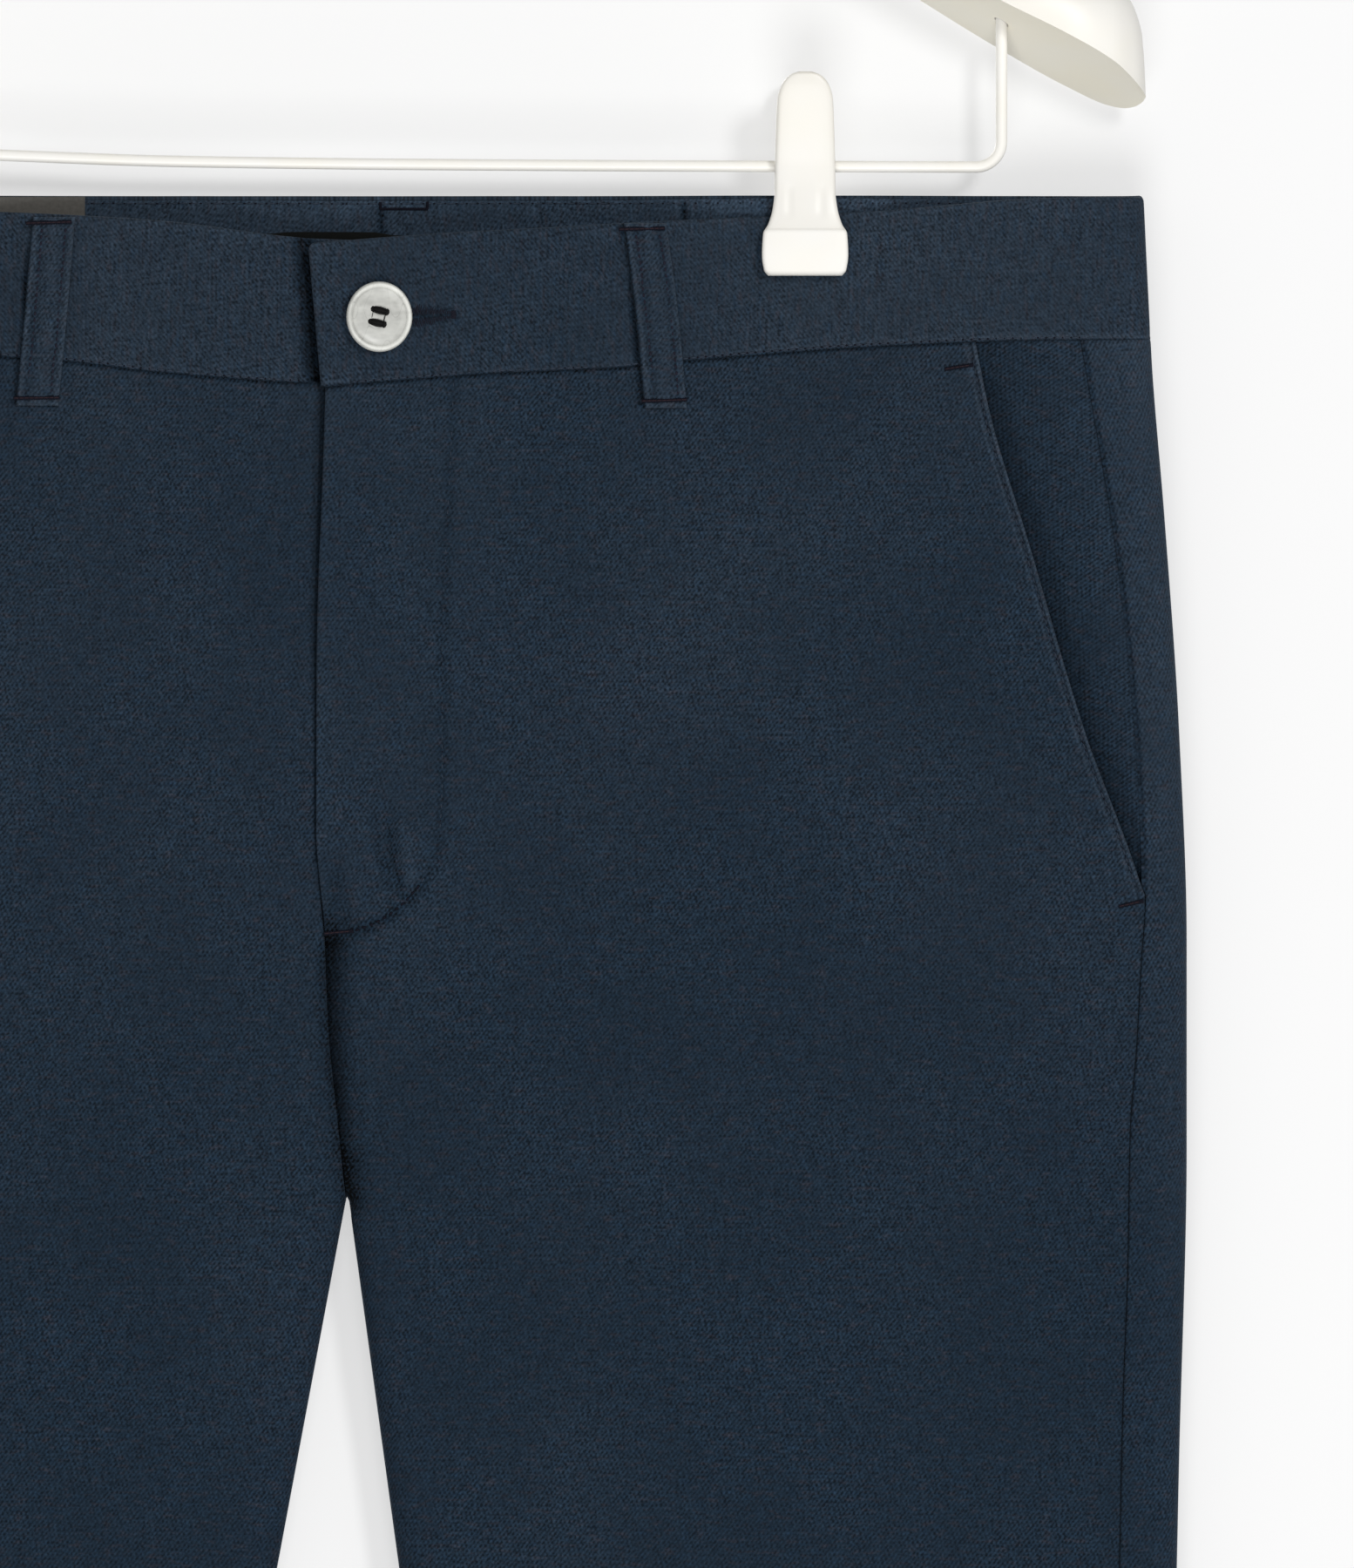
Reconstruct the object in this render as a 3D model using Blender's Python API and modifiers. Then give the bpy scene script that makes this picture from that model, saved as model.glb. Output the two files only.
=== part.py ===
"""Linen bermuda shorts, hung by the waistband from a white clip hanger.

Tables and sizes are in millimetres; MM turns them into metres. "drop" is the distance
below the top edge of the back waistband. +X is the wearer's left, the front faces -Y
and +Z is up. The origin is the inside top of the hanger's hook, where a rod bears.

The shorts hang flat, so front and back are two shallow faces that round into each
other at the side folds, the inseams and the crotch. Every cloth piece is laid on that
one surface or a stated depth below it, which keeps all seams GAP apart.
"""

from collections import namedtuple
from math import cos, exp, hypot, pi, radians, sin, sqrt, tan

import bmesh
import bpy
from mathutils import Vector

MM = 0.001
GAP = 0.3  # clearance between neighbouring pieces at a seam
LAYER_GAP = 0.45  # clearance between layers that lie on each other

# ---- the shorts ------------------------------------------------------------------
WAIST_Z = -208.6  # top edge of the back waistband, below the origin
BACK_SEAM = 39.6  # drop of the waistband seam at the back and the sides
CROTCH_X = 0.6
CROTCH_DROP = 275.8
INSEAM = 230.0
HEM_DROP = CROTCH_DROP + INSEAM
HEM_FOLD = 30.0  # depth of the turned hem
FLY_DROP = 203.0  # foot of the fly

CLOTH = 1.4  # one layer of the twill
HEM_CLOTH = 2.6  # two layers at the turned hem
BAND = 2.0  # waistband: two layers and their interlining
LINING = 1.0  # pocketing, tapes and the curtain

BODY_DEPTH = 8.5  # half of the front to back depth
FOLD_RUN = 8.0  # width over which a face rounds into a fold
PINCH_DEPTH = BAND + GAP / 2  # half depth where the clips close the band
PINCH_HALF = 12.5
PINCH_DROP = 24.0
PINCH_SPREAD = 30.0
PINCH_FADE = 30.0

Outline = namedtuple("Outline", "drop right left")
OUTLINE = [
    Outline(0, -220.0, 220.3),
    Outline(46, -222.5, 222.7),
    Outline(90, -226.0, 226.3),
    Outline(147, -230.0, 230.2),
    Outline(205, -232.0, 232.3),
    Outline(262, -233.2, 232.3),
    Outline(349, -234.6, 230.2),
    Outline(HEM_DROP, -237.4, 227.0),
]
INSEAM_LEAN = {1: 7.8, -1: 10.6}  # degrees from the vertical, by leg

# edge of the fly and, below it, the centre front seam
CentreFront = namedtuple("CentreFront", "drop x")
CENTRE_FRONT = [
    CentreFront(40, -5.4),
    CentreFront(67, -6.0),
    CentreFront(128, -7.8),
    CentreFront(174, -7.8),
    CentreFront(FLY_DROP, -5.4),
    CentreFront(229, -4.3),
    CentreFront(258, -1.4),
    CentreFront(CROTCH_DROP, CROTCH_X),
]
CENTRE_BACK_TOP_X = 16.0  # the centre back hangs off the middle

# front waistband: drop of its top edge and of its seam, by x
BandEdge = namedtuple("BandEdge", "x top seam")
BAND_EDGES = {
    1: [
        BandEdge(-9, 12.7, 52.8),
        BandEdge(25, 10.1, 49.2),
        BandEdge(60, 8.2, 46.1),
        BandEdge(95, 6.2, 44.2),
        BandEdge(145, 3.9, 41.0),
        BandEdge(193, 0.4, 39.6),
        BandEdge(221, 0.0, BACK_SEAM),
    ],
    -1: [
        BandEdge(-221, 0.0, BACK_SEAM),
        BandEdge(-190, 0.4, 39.8),
        BandEdge(-127, 2.8, 42.4),
        BandEdge(-78, 4.8, 45.4),
        BandEdge(-50, 6.6, 48.6),
        BandEdge(-8, 11.4, 51.6),
        BandEdge(34, 12.4, 52.2),
    ],
}
BAND_TIP = {1: (-9.2, -5.6), -1: (32.0, 32.0)}  # x of the band's free end, top and seam

# slant pocket: its opening edge, and the side seam that shows behind it
PocketLine = namedtuple("PocketLine", "drop x")
POCKET_FOOT = 192.4
POCKET_EDGE = [
    PocketLine(39, 173.8),
    PocketLine(60, 178.1),
    PocketLine(95, 188.6),
    PocketLine(148, 204.4),
    PocketLine(179, 216.0),
    PocketLine(POCKET_FOOT, 220.6),
]
SIDE_SEAM = [
    PocketLine(39, 203.6),
    PocketLine(66, 208.3),
    PocketLine(90, 212.3),
    PocketLine(114, 215.5),
    PocketLine(138, 217.9),
    PocketLine(162, 219.6),
    PocketLine(POCKET_FOOT, 220.7),
    PocketLine(212, 219.5),
    PocketLine(234, 218.3),
    PocketLine(258, 216.5),
    PocketLine(294, 215.9),
    PocketLine(330, 214.6),
    PocketLine(374, 213.6),
    PocketLine(HEM_DROP, 211.4),
]
POCKET_UNDER = 24.0  # how far the facing reaches in under the front
FACING_SHORT = 8.0  # the facing ends this far above the foot of the pocket
FACING_SEAM_DEPTH = 0.5  # depth of the facing at the side seam
BAG_TOP = 48.0
BAG_FOOT = 262.0
BAG_INNER_X = 116.0

# largest soft folds of the hanging cloth: a ridge (+) or a trough (-) on one face
Fold = namedtuple("Fold", "face x_top x_foot top foot half_width height")
FOLDS = [
    Fold(-1, 118, 96, 40, 270, 26, 0.9),
    Fold(-1, 52, 62, 70, 250, 18, -0.8),
    Fold(-1, 150, 128, 150, 500, 34, 0.8),
    Fold(-1, -120, -98, 40, 260, 26, 0.9),
    Fold(-1, -56, -70, 90, 270, 20, -0.7),
    Fold(-1, -150, -140, 170, 500, 36, 0.8),
    Fold(1, 124, 100, 40, 280, 28, 0.9),
    Fold(1, -124, -92, 40, 270, 28, 0.8),
    Fold(1, 136, 128, 180, 500, 36, -0.7),
    Fold(1, -140, -132, 170, 500, 36, -0.7),
]

# depths of the hidden layers below the outer face of the front
FACING_DEPTH = CLOTH + LAYER_GAP
UNDERLAP_DEPTH = FACING_DEPTH + LINING + LAYER_GAP
ZIP_DEPTH = UNDERLAP_DEPTH + CLOTH + LAYER_GAP
SHIELD_DEPTH = ZIP_DEPTH + LINING + LAYER_GAP
UNDERLAP = 7.0  # how far the right front runs under the fly
FlyLine = namedtuple("FlyLine", "drop x")
FLY_CURVE = [
    FlyLine(49, 33.4),
    FlyLine(66, 33.2),
    FlyLine(128, 29.6),
    FlyLine(176, 28.6),
    FlyLine(188, 25.0),
    FlyLine(197, 16.0),
    FlyLine(203, 5.0),
]

# ---- button, label and loops -------------------------------------------------------
BUTTON_X = 9.8
BUTTON_DROP = 33.1
BUTTON_RADIUS = 9.4
BUTTON_THICK = 3.0
BUTTON_HOLE_OFFSET = 1.75
BUTTON_HOLE_RADIUS = 0.8
SHANK_RADIUS = 0.9
SLOT_START, SLOT_END, SLOT_HEIGHT = 8.0, 29.0, 2.6
LABEL_X = (-101.0, -72.0)
LABEL_DROP = (0.4, 20.4)
CURTAIN_X = (-68.0, 84.0)
CURTAIN_DROP = (8.6, 45.0)

LOOP_WIDTH = 11.8
LOOP_CLOTH = 1.5
LOOP_RISE = 0.8  # how far a loop stands off in the middle
Loop = namedtuple("Loop", "name face x_top x_foot top foot")
LOOPS = [
    Loop("belt_loop_front_left", -1, 83.2, 89.0, 7.4, 58.2),
    Loop("belt_loop_front_right", -1, -80.6, -84.8, 7.2, 57.6),
    Loop("belt_loop_back_left", 1, 100.0, 103.0, 0.8, 50.6),
    Loop("belt_loop_back_right", 1, -98.0, -101.0, 0.8, 50.6),
    Loop("belt_loop_centre_back", 1, 16.2, 15.0, 0.8, 50.6),
]

# ---- hanger -------------------------------------------------------------------------
HOOK_WIRE = 1.75
HOOK_RADIUS = 20.0  # inside radius of the hook
STEM_FOOT_Z = -66.0
BAR_WIRE = 1.6
BAR_X = 181.2
BAR_CORNER = 7.0
BAR_TOP_Z = -150.0
BORE_CLEAR = 0.3

# the trouser bar is slightly bowed: height of its centreline
BarRow = namedtuple("BarRow", "x z")
BAR_LINE = [
    BarRow(-180, -194.6),
    BarRow(-127, -195.6),
    BarRow(-90, -197.1),
    BarRow(-47, -198.6),
    BarRow(25, -199.5),
    BarRow(121, -200.0),
    BarRow(180, -200.2),
]

# moulded arms, one side: heights of the front and back lower edges, crown and depth
ArmRow = namedtuple("ArmRow", "x front back crown half_depth")
ARM = [
    ArmRow(0, -77.0, -81.0, 22.0, 8.0),
    ArmRow(10, -78.0, -82.2, 21.0, 8.2),
    ArmRow(28, -82.8, -87.6, 17.5, 9.4),
    ArmRow(60, -94.0, -99.5, 16.5, 11.0),
    ArmRow(100, -112.0, -119.5, 18.0, 13.5),
    ArmRow(140, -132.5, -142.0, 20.5, 16.0),
    ArmRow(181, -154.9, -167.1, 23.5, 17.5),
    ArmRow(199, -163.8, -177.2, 25.0, 17.0),
    ArmRow(212, -172.0, -183.0, 25.0, 14.0),
    ArmRow(217, -175.9, -183.5, 22.0, 10.0),
    ArmRow(220, -178.9, -181.9, 16.0, 5.5),
    ArmRow(221, -180.0, -180.8, 10.0, 3.0),
]
ARM_SPANS = 15
ARM_SIDES = 12
ARM_UNDER_SIDES = 3  # how many of the sides lie on the underside

# a clip jaw, front one: height above the bar, half width, front and back face
JawRow = namedtuple("JawRow", "height half_width front back")
JAW = [
    JawRow(25.9, 2.6, -12.0, -10.2),
    JawRow(25.2, 4.5, -12.4, -10.0),
    JawRow(23.2, 6.3, -12.3, -9.5),
    JawRow(19.0, 7.5, -11.5, -8.4),
    JawRow(12.0, 8.3, -9.6, -6.4),
    JawRow(6.5, 8.3, -8.0, -4.3),
    JawRow(0.0, 8.3, -6.3, -1.8),
    JawRow(-7.0, 8.3, -5.6, -2.5),
    JawRow(-12.0, 8.7, -5.9, -2.7),
    JawRow(-16.0, 10.1, -6.6, -2.6),
    JawRow(-18.7, 11.3, -7.3, -2.45),
    JawRow(-24.5, 11.7, -7.7, -2.45),
    JawRow(-28.6, 11.3, -7.5, -2.45),
    JawRow(-30.2, 10.2, -6.9, -2.45),
]
JAW_SPANS = 6
JAW_CROWN = 0.9
CLIP_X = 127.0
COIL_HEIGHT = 6.3
COIL_RADIUS = 2.9
COIL_WIRE = 0.5
COIL_TURNS = 4
COIL_LENGTH = 8.0
COIL_STEPS = 9

# ---- colours, linear RGB, with roughness and metallic value -------------------------
Paint = namedtuple("Paint", "colour roughness metallic")
PAINTS = {
    "navy_twill": Paint((0.016, 0.026, 0.040), 0.95, 0.0),
    "dark_lining": Paint((0.009, 0.010, 0.010), 0.95, 0.0),
    "pocketing": Paint((0.018, 0.026, 0.038), 0.95, 0.0),
    "zip_metal": Paint((0.35, 0.33, 0.30), 0.35, 1.0),
    "label_cloth": Paint((0.070, 0.068, 0.066), 0.9, 0.0),
    "pearl_button": Paint((0.60, 0.61, 0.58), 0.25, 0.0),
    "white_plastic": Paint((0.90, 0.89, 0.86), 0.4, 0.0),
    "white_coated_wire": Paint((0.91, 0.90, 0.88), 0.35, 0.0),
    "spring_steel": Paint((0.45, 0.45, 0.46), 0.3, 1.0),
}


# ---- small tools --------------------------------------------------------------------
def read(table, at, column):
    """Value of a named column between the rows of a table, on a smooth curve."""
    keys = [row[0] for row in table]
    values = [getattr(row, column) for row in table]
    at = min(max(at, keys[0]), keys[-1])
    last = len(keys) - 1
    i = max(k for k in range(last) if keys[k] <= at)
    rise = [(values[k + 1] - values[k]) / (keys[k + 1] - keys[k]) for k in range(last)]

    def slope(k):
        if k in (0, last):
            return rise[min(k, last - 1)]
        a, b = rise[k - 1], rise[k]
        return 2 * a * b / (a + b) if a * b > 0 else 0.0

    width = keys[i + 1] - keys[i]
    t = (at - keys[i]) / width
    start = values[i] * (1 + 2 * t) + slope(i) * width * t
    end = values[i + 1] * (3 - 2 * t) - slope(i + 1) * width * (1 - t)
    return start * (1 - t) ** 2 + end * t * t


def ease(start, end, at):
    """0 at start, 1 at end, level at both."""
    t = min(max((at - start) / (end - start), 0.0), 1.0)
    return t * t * (3 - 2 * t)


def spread(start, end, spans):
    return [start + (end - start) * k / spans for k in range(spans + 1)]


# ---- the surface of the shorts ------------------------------------------------------
def outline_x(drop, leg):
    return read(OUTLINE, drop, "left" if leg > 0 else "right")


def inseam_x(drop, leg):
    below = max(drop - CROTCH_DROP, 0.0)
    return CROTCH_X + leg * (GAP / 2 + below * tan(radians(INSEAM_LEAN[leg])))


def edge_distance(x, drop, leg):
    """How far a place lies inside the outline of its half of the shorts."""
    outer = leg * (outline_x(drop, leg) - x)
    if drop <= CROTCH_DROP:
        inner = hypot(x - inseam_x(drop, leg), CROTCH_DROP - drop)
    else:
        inner = leg * (x - inseam_x(drop, leg)) * cos(radians(INSEAM_LEAN[leg]))
    return min(outer, inner)


def fold_height(x, drop, face):
    """Soft folds: rounded across, and faded at both ends."""
    total = 0.0
    for fold in FOLDS:
        if fold.face != face or not fold.top < drop < fold.foot:
            continue
        along = (drop - fold.top) / (fold.foot - fold.top)
        middle = fold.x_top + (fold.x_foot - fold.x_top) * along
        across = exp(-(((x - middle) / fold.half_width) ** 2))
        total += fold.height * across * sin(pi * along) ** 2
    return total


def half_depth(x, drop, face):
    depth = BODY_DEPTH + fold_height(x, drop, face)
    beside = max(0.0, abs(abs(x) - CLIP_X) - PINCH_HALF) / PINCH_SPREAD
    below = max(0.0, drop - PINCH_DROP) / PINCH_FADE
    pinch = exp(-(beside**2) - below**2)
    return depth + (PINCH_DEPTH - depth) * pinch


def fullness(x, y, drop, face, leg):
    """1 on the surface: a flat face that rounds elliptically into the outline."""
    inside = min(edge_distance(x, drop, leg), FOLD_RUN)
    return (y / half_depth(x, drop, face)) ** 2 + (1 - inside / FOLD_RUN) ** 2


def surface_y(x, drop, face, leg):
    inside = min(max(edge_distance(x, drop, leg), 0.0), FOLD_RUN)
    return face * half_depth(x, drop, face) * sqrt(1 - (1 - inside / FOLD_RUN) ** 2)


def outward(x, y, drop, face, leg):
    """Direction in which the surface faces, from how the fullness grows."""
    step = 0.02
    ahead = fullness(x + step, y, drop, face, leg) - fullness(x - step, y, drop, face, leg)
    out = fullness(x, y + step, drop, face, leg) - fullness(x, y - step, drop, face, leg)
    down = fullness(x, y, drop + step, face, leg) - fullness(x, y, drop - step, face, leg)
    return Vector((ahead, out, -down)).normalized()


def on_cloth(x, drop, face, leg, depth):
    """The place that lies depth below the outer surface."""
    y = surface_y(x, drop, face, leg)
    return Vector((x, y, WAIST_Z - drop)) - outward(x, y, drop, face, leg) * depth


# ---- building objects ---------------------------------------------------------------
def clear_scene():
    for item in list(bpy.data.objects):
        bpy.data.objects.remove(item, do_unlink=True)


def make_collection(name):
    group = bpy.data.collections.new(name)
    bpy.context.scene.collection.children.link(group)
    return group


def make_material(name):
    paint = PAINTS[name]
    material = bpy.data.materials.get(name) or bpy.data.materials.new(name)
    material.use_nodes = True
    shader = material.node_tree.nodes["Principled BSDF"]
    shader.inputs["Base Color"].default_value = (*paint.colour, 1.0)
    shader.inputs["Roughness"].default_value = paint.roughness
    shader.inputs["Metallic"].default_value = paint.metallic
    material.diffuse_color = (*paint.colour, 1.0)
    return material


def new_object(name, data, material, group):
    item = bpy.data.objects.new(name, data)
    group.objects.link(item)
    if material:
        data.materials.append(make_material(material))
    return item


def mesh_object(name, shape, material, group):
    """Turn a finished bmesh in millimetres into an object in metres."""
    bmesh.ops.recalc_face_normals(shape, faces=shape.faces[:])
    if shape.calc_volume(signed=True) < 0:
        bmesh.ops.reverse_faces(shape, faces=shape.faces[:])
    bmesh.ops.scale(shape, vec=(MM, MM, MM), verts=shape.verts[:])
    mesh = bpy.data.meshes.new(name)
    shape.to_mesh(mesh)
    shape.free()
    mesh.shade_smooth()
    mesh.set_sharp_from_angle(angle=radians(40))
    return new_object(name, mesh, material, group)


def wall_object(name, columns, rows, faces, material, group):
    """A closed wall: a grid laid on its outer face, then thickened to its inner face.

    faces(column, row) gives the outer and the inner place of one grid point.
    """
    shape = bmesh.new()
    inward = shape.verts.layers.float_vector.new("inward")
    bmesh.ops.create_grid(shape, x_segments=columns, y_segments=rows, size=0.5)
    for vertex in shape.verts:
        column = round((vertex.co.x + 0.5) * columns)
        row = round((vertex.co.y + 0.5) * rows)
        outer, inner = faces(column, row)
        vertex.co = outer
        vertex[inward] = inner - outer
    skin = shape.verts[:] + shape.edges[:] + shape.faces[:]
    grown = bmesh.ops.extrude_face_region(shape, geom=skin, use_keep_orig=True)
    for vertex in [g for g in grown["geom"] if isinstance(g, bmesh.types.BMVert)]:
        vertex.co += vertex[inward]
    return mesh_object(name, shape, material, group)


def wire_object(name, route, radius, sides, material, group):
    """A round wire along a list of places, with filled ends."""
    curve = bpy.data.curves.new(name, "CURVE")
    curve.dimensions = "3D"
    curve.bevel_depth = radius * MM
    curve.bevel_resolution = sides
    curve.use_fill_caps = True
    spline = curve.splines.new("POLY")
    spline.points.add(len(route) - 1)
    for point, place in zip(spline.points, route):
        point.co = (*(Vector(place) * MM), 1.0)
    return new_object(name, curve, material, group)


def cut(item, cutter, operation="DIFFERENCE"):
    modifier = item.modifiers.new(cutter.name, "BOOLEAN")
    modifier.operation = operation
    modifier.solver = "EXACT"
    modifier.object = cutter


def rod_cutter(name, start, end, radius, group, sides=16):
    """A cylinder between two places, used only to cut a bore."""
    start, end = Vector(start) * MM, Vector(end) * MM
    shape = bmesh.new()
    length = (end - start).length
    bmesh.ops.create_cone(
        shape,
        cap_ends=True,
        segments=sides,
        radius1=radius * MM,
        radius2=radius * MM,
        depth=length,
    )
    mesh = bpy.data.meshes.new(name)
    shape.to_mesh(mesh)
    shape.free()
    item = new_object(name, mesh, None, group)
    item.location = (start + end) / 2
    item.rotation_mode = "QUATERNION"
    item.rotation_quaternion = (end - start).to_track_quat("Z", "Y")
    item.hide_render = True
    item.display_type = "WIRE"
    return item


# ---- stations along a cross-section of one half of the shorts -------------------------
FOLD_ANGLES = (30, 60, 90)  # where a fold is sampled, from its crease to its face


def fold_run(angle):
    """Distance in from the outline at an angle of the rounded fold."""
    return FOLD_RUN * (1 - cos(radians(angle)))


def crease_angle():
    """Angle whose place lies half a gap from the crease."""
    return 180 / pi * GAP / 2 / BODY_DEPTH


def front_inner_x(drop, leg):
    """Edge of a front towards the middle: fly, centre front seam, then inseam."""
    if drop >= CROTCH_DROP:
        return inseam_x(drop, leg)
    return read(CENTRE_FRONT, drop, "x") + leg * GAP / 2


def underlap_reach(drop, leg):
    """How far the right front runs on past that edge, under the fly."""
    if leg > 0:
        return 0.0
    return UNDERLAP * (1 - ease(FLY_DROP - 22, FLY_DROP - 8, drop))


def back_inner_x(drop, leg):
    """Edge of a back towards the middle: centre back seam, then inseam."""
    if drop >= CROTCH_DROP:
        return inseam_x(drop, leg)
    fall = (drop - BACK_SEAM) / (CROTCH_DROP - BACK_SEAM)
    return CENTRE_BACK_TOP_X + (CROTCH_X - CENTRE_BACK_TOP_X) * fall + leg * GAP / 2


def front_outer_x(drop, leg):
    """Edge of a front towards the side: pocket opening, then side seam."""
    table = POCKET_EDGE if drop < POCKET_FOOT else SIDE_SEAM
    return leg * (read(table, drop, "x") - GAP / 2)


def front_underlap(x, drop):
    """Depth to which the right front sinks to pass under the fly."""
    edge = read(CENTRE_FRONT, drop, "x")
    across = ease(edge - 7.5, edge - 1.1, x)
    return UNDERLAP_DEPTH * across * (1 - ease(FLY_DROP - 7, FLY_DROP + 6, drop))


def band_underlap(x):
    """Depth to which the right waistband sinks to pass under the left one."""
    return (BAND + GAP) * ease(-17.0, -10.0, x)


def cloth_wall(drop):
    return HEM_CLOTH if drop > HEM_DROP - HEM_FOLD else CLOTH


TOP_FADE = 70.0  # length over which the rows level out below the waistband
LOWER_ROWS = (
    [CROTCH_DROP - fold_run(angle) for angle in (90, 60, 30)]
    + [CROTCH_DROP, 300, 350, 405, 455]
    + [HEM_DROP - HEM_FOLD - 0.3, HEM_DROP - HEM_FOLD + 0.3, HEM_DROP]
)
UPPER_ROWS = [BACK_SEAM + GAP, 50, 63, 84, 112]
FRONT_ROWS = UPPER_ROWS + [145, 172, 182, 189, 196, 203, 209, 232, 252] + LOWER_ROWS
BACK_ROWS = UPPER_ROWS + [145, 172, 190, 203, 215, 240] + LOWER_ROWS


def body_drop(level, x, face, leg):
    """Drop of a row at x: the top row follows the seam of the waistband."""
    if face > 0:
        return level
    sag = read(BAND_EDGES[leg], x, "seam") - BACK_SEAM
    return level + sag * (1 - ease(BACK_SEAM, BACK_SEAM + TOP_FADE, level))


def pair_on_cloth(x, drop, face, leg, depth, wall):
    """Outer and inner place of a wall that starts at a depth."""
    outer = on_cloth(x, drop, face, leg, depth)
    return outer, on_cloth(x, drop, face, leg, depth + wall)


# ---- cloth pieces -------------------------------------------------------------------
# shares of a panel's width at which it is sampled, close where the clips pinch
FRONT_SHARES = (0, 0.19, 0.37, 0.53, 0.65, 0.76, 0.88, 1)
STEP_RUNS = [11.0]  # further in, where the right front steps down under the fly
BACK_SHARES = (0, 0.16, 0.30, 0.42, 0.52, 0.62, 0.78, 1)


def build_front(leg, group):
    inner = [fold_run(angle) for angle in (crease_angle(), *FOLD_ANGLES)]
    if leg < 0:
        inner += STEP_RUNS

    def faces(column, row):
        drop = FRONT_ROWS[row]
        for _ in range(3):
            start, end = front_inner_x(drop, leg), front_outer_x(drop, leg)
            flat = start + leg * inner[-1]
            if column == 0:
                x = start + leg * inner[0] + underlap_reach(drop, leg)
            elif column < len(inner):
                x = start + leg * inner[column]
            else:
                x = flat + (end - flat) * FRONT_SHARES[column - len(inner) + 1]
            drop = body_drop(FRONT_ROWS[row], x, -1, leg)
        depth = front_underlap(x, drop) if leg < 0 else 0.0
        return pair_on_cloth(x, drop, -1, leg, depth, cloth_wall(drop))

    name = "front_left" if leg > 0 else "front_right"
    columns = len(inner) + len(FRONT_SHARES) - 2
    return wall_object(name, columns, len(FRONT_ROWS) - 1, faces, "navy_twill", group)


def build_back(leg, group):
    """A back starts at the side seam on the front and wraps round the side fold."""
    fold = [(-1, a) for a in (90, 60, 30)] + [(1, a) for a in (0, 30, 60, 90)]
    inner = [60, 30, crease_angle()]

    def station(column, drop):
        side, end = outline_x(drop, leg), back_inner_x(drop, leg)
        if column == 0:
            return leg * (read(SIDE_SEAM, drop, "x") + GAP / 2), -1
        column -= 1
        if column < len(fold):
            face, angle = fold[column]
            return side - leg * fold_run(angle), face
        column -= len(fold) - 1
        if column < len(BACK_SHARES):
            start, stop = side - leg * FOLD_RUN, end + leg * FOLD_RUN
            return start + (stop - start) * BACK_SHARES[column], 1
        return end + leg * fold_run(inner[column - len(BACK_SHARES)]), 1

    def faces(column, row):
        drop = BACK_ROWS[row]
        for _ in range(2):
            x, face = station(column, drop)
            drop = body_drop(BACK_ROWS[row], x, face, leg)
        return pair_on_cloth(x, drop, face, leg, 0.0, cloth_wall(drop))

    name = "back_left" if leg > 0 else "back_right"
    columns = len(fold) + len(BACK_SHARES) - 1 + len(inner)
    return wall_object(name, columns, len(BACK_ROWS) - 1, faces, "navy_twill", group)


# distances from the middle at which a waistband is sampled, close where the clips pinch
BAND_STATIONS = (35, 55, 74, 86, 96, 105, 114.5, 127, 139.5, 150, 162, 178, 197)
BAND_TIP_STATIONS = {1: (12,), -1: (12, -9, -18)}
BAND_ROWS = 3


def build_waistband(leg, group):
    """Half a waistband, from its free end at the front round to the centre back."""
    fold = [(-1, a) for a in (90, 60, 30)] + [(1, a) for a in (0, 30, 60, 90)]
    body = [leg * x for x in BAND_STATIONS]
    front = list(BAND_TIP_STATIONS[leg]) + body
    back = list(reversed(body))

    def station(column, share):
        if column == 0:
            top, foot = BAND_TIP[leg]
            return top + (foot - top) * share, -1
        column -= 1
        if column < len(front):
            return front[column], -1
        column -= len(front)
        if column < len(fold):
            face, angle = fold[column]
            return outline_x(BACK_SEAM * share, leg) - leg * fold_run(angle), face
        column -= len(fold)
        if column < len(back):
            return back[column], 1
        return CENTRE_BACK_TOP_X + leg * GAP / 2, 1

    def faces(column, row):
        share = row / BAND_ROWS
        x, face = station(column, share)
        top, seam = 0.0, BACK_SEAM
        if face < 0:
            top = read(BAND_EDGES[leg], x, "top")
            seam = read(BAND_EDGES[leg], x, "seam")
        drop = top + (seam - top) * share
        depth = band_underlap(x) if leg < 0 and face < 0 else 0.0
        return pair_on_cloth(x, drop, face, leg, depth, BAND)

    name = "waistband_left" if leg > 0 else "waistband_right"
    columns = 1 + len(front) + len(fold) + len(back)
    return wall_object(name, columns, BAND_ROWS, faces, "navy_twill", group)


def build_strip(name, material, face, leg, depth, wall, columns, rows, place, group):
    """A flat piece laid at a depth; place(across, along) gives its x and drop."""

    def faces(column, row):
        x, drop = place(column / columns, row / rows)
        return pair_on_cloth(x, drop, face, leg, depth, wall)

    return wall_object(name, columns, rows, faces, material, group)


def fly_start(drop, inset):
    return read(CENTRE_FRONT, drop, "x") + inset


FLY_TOP = 53.6  # just below the seam of the waistband at the fly


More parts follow.
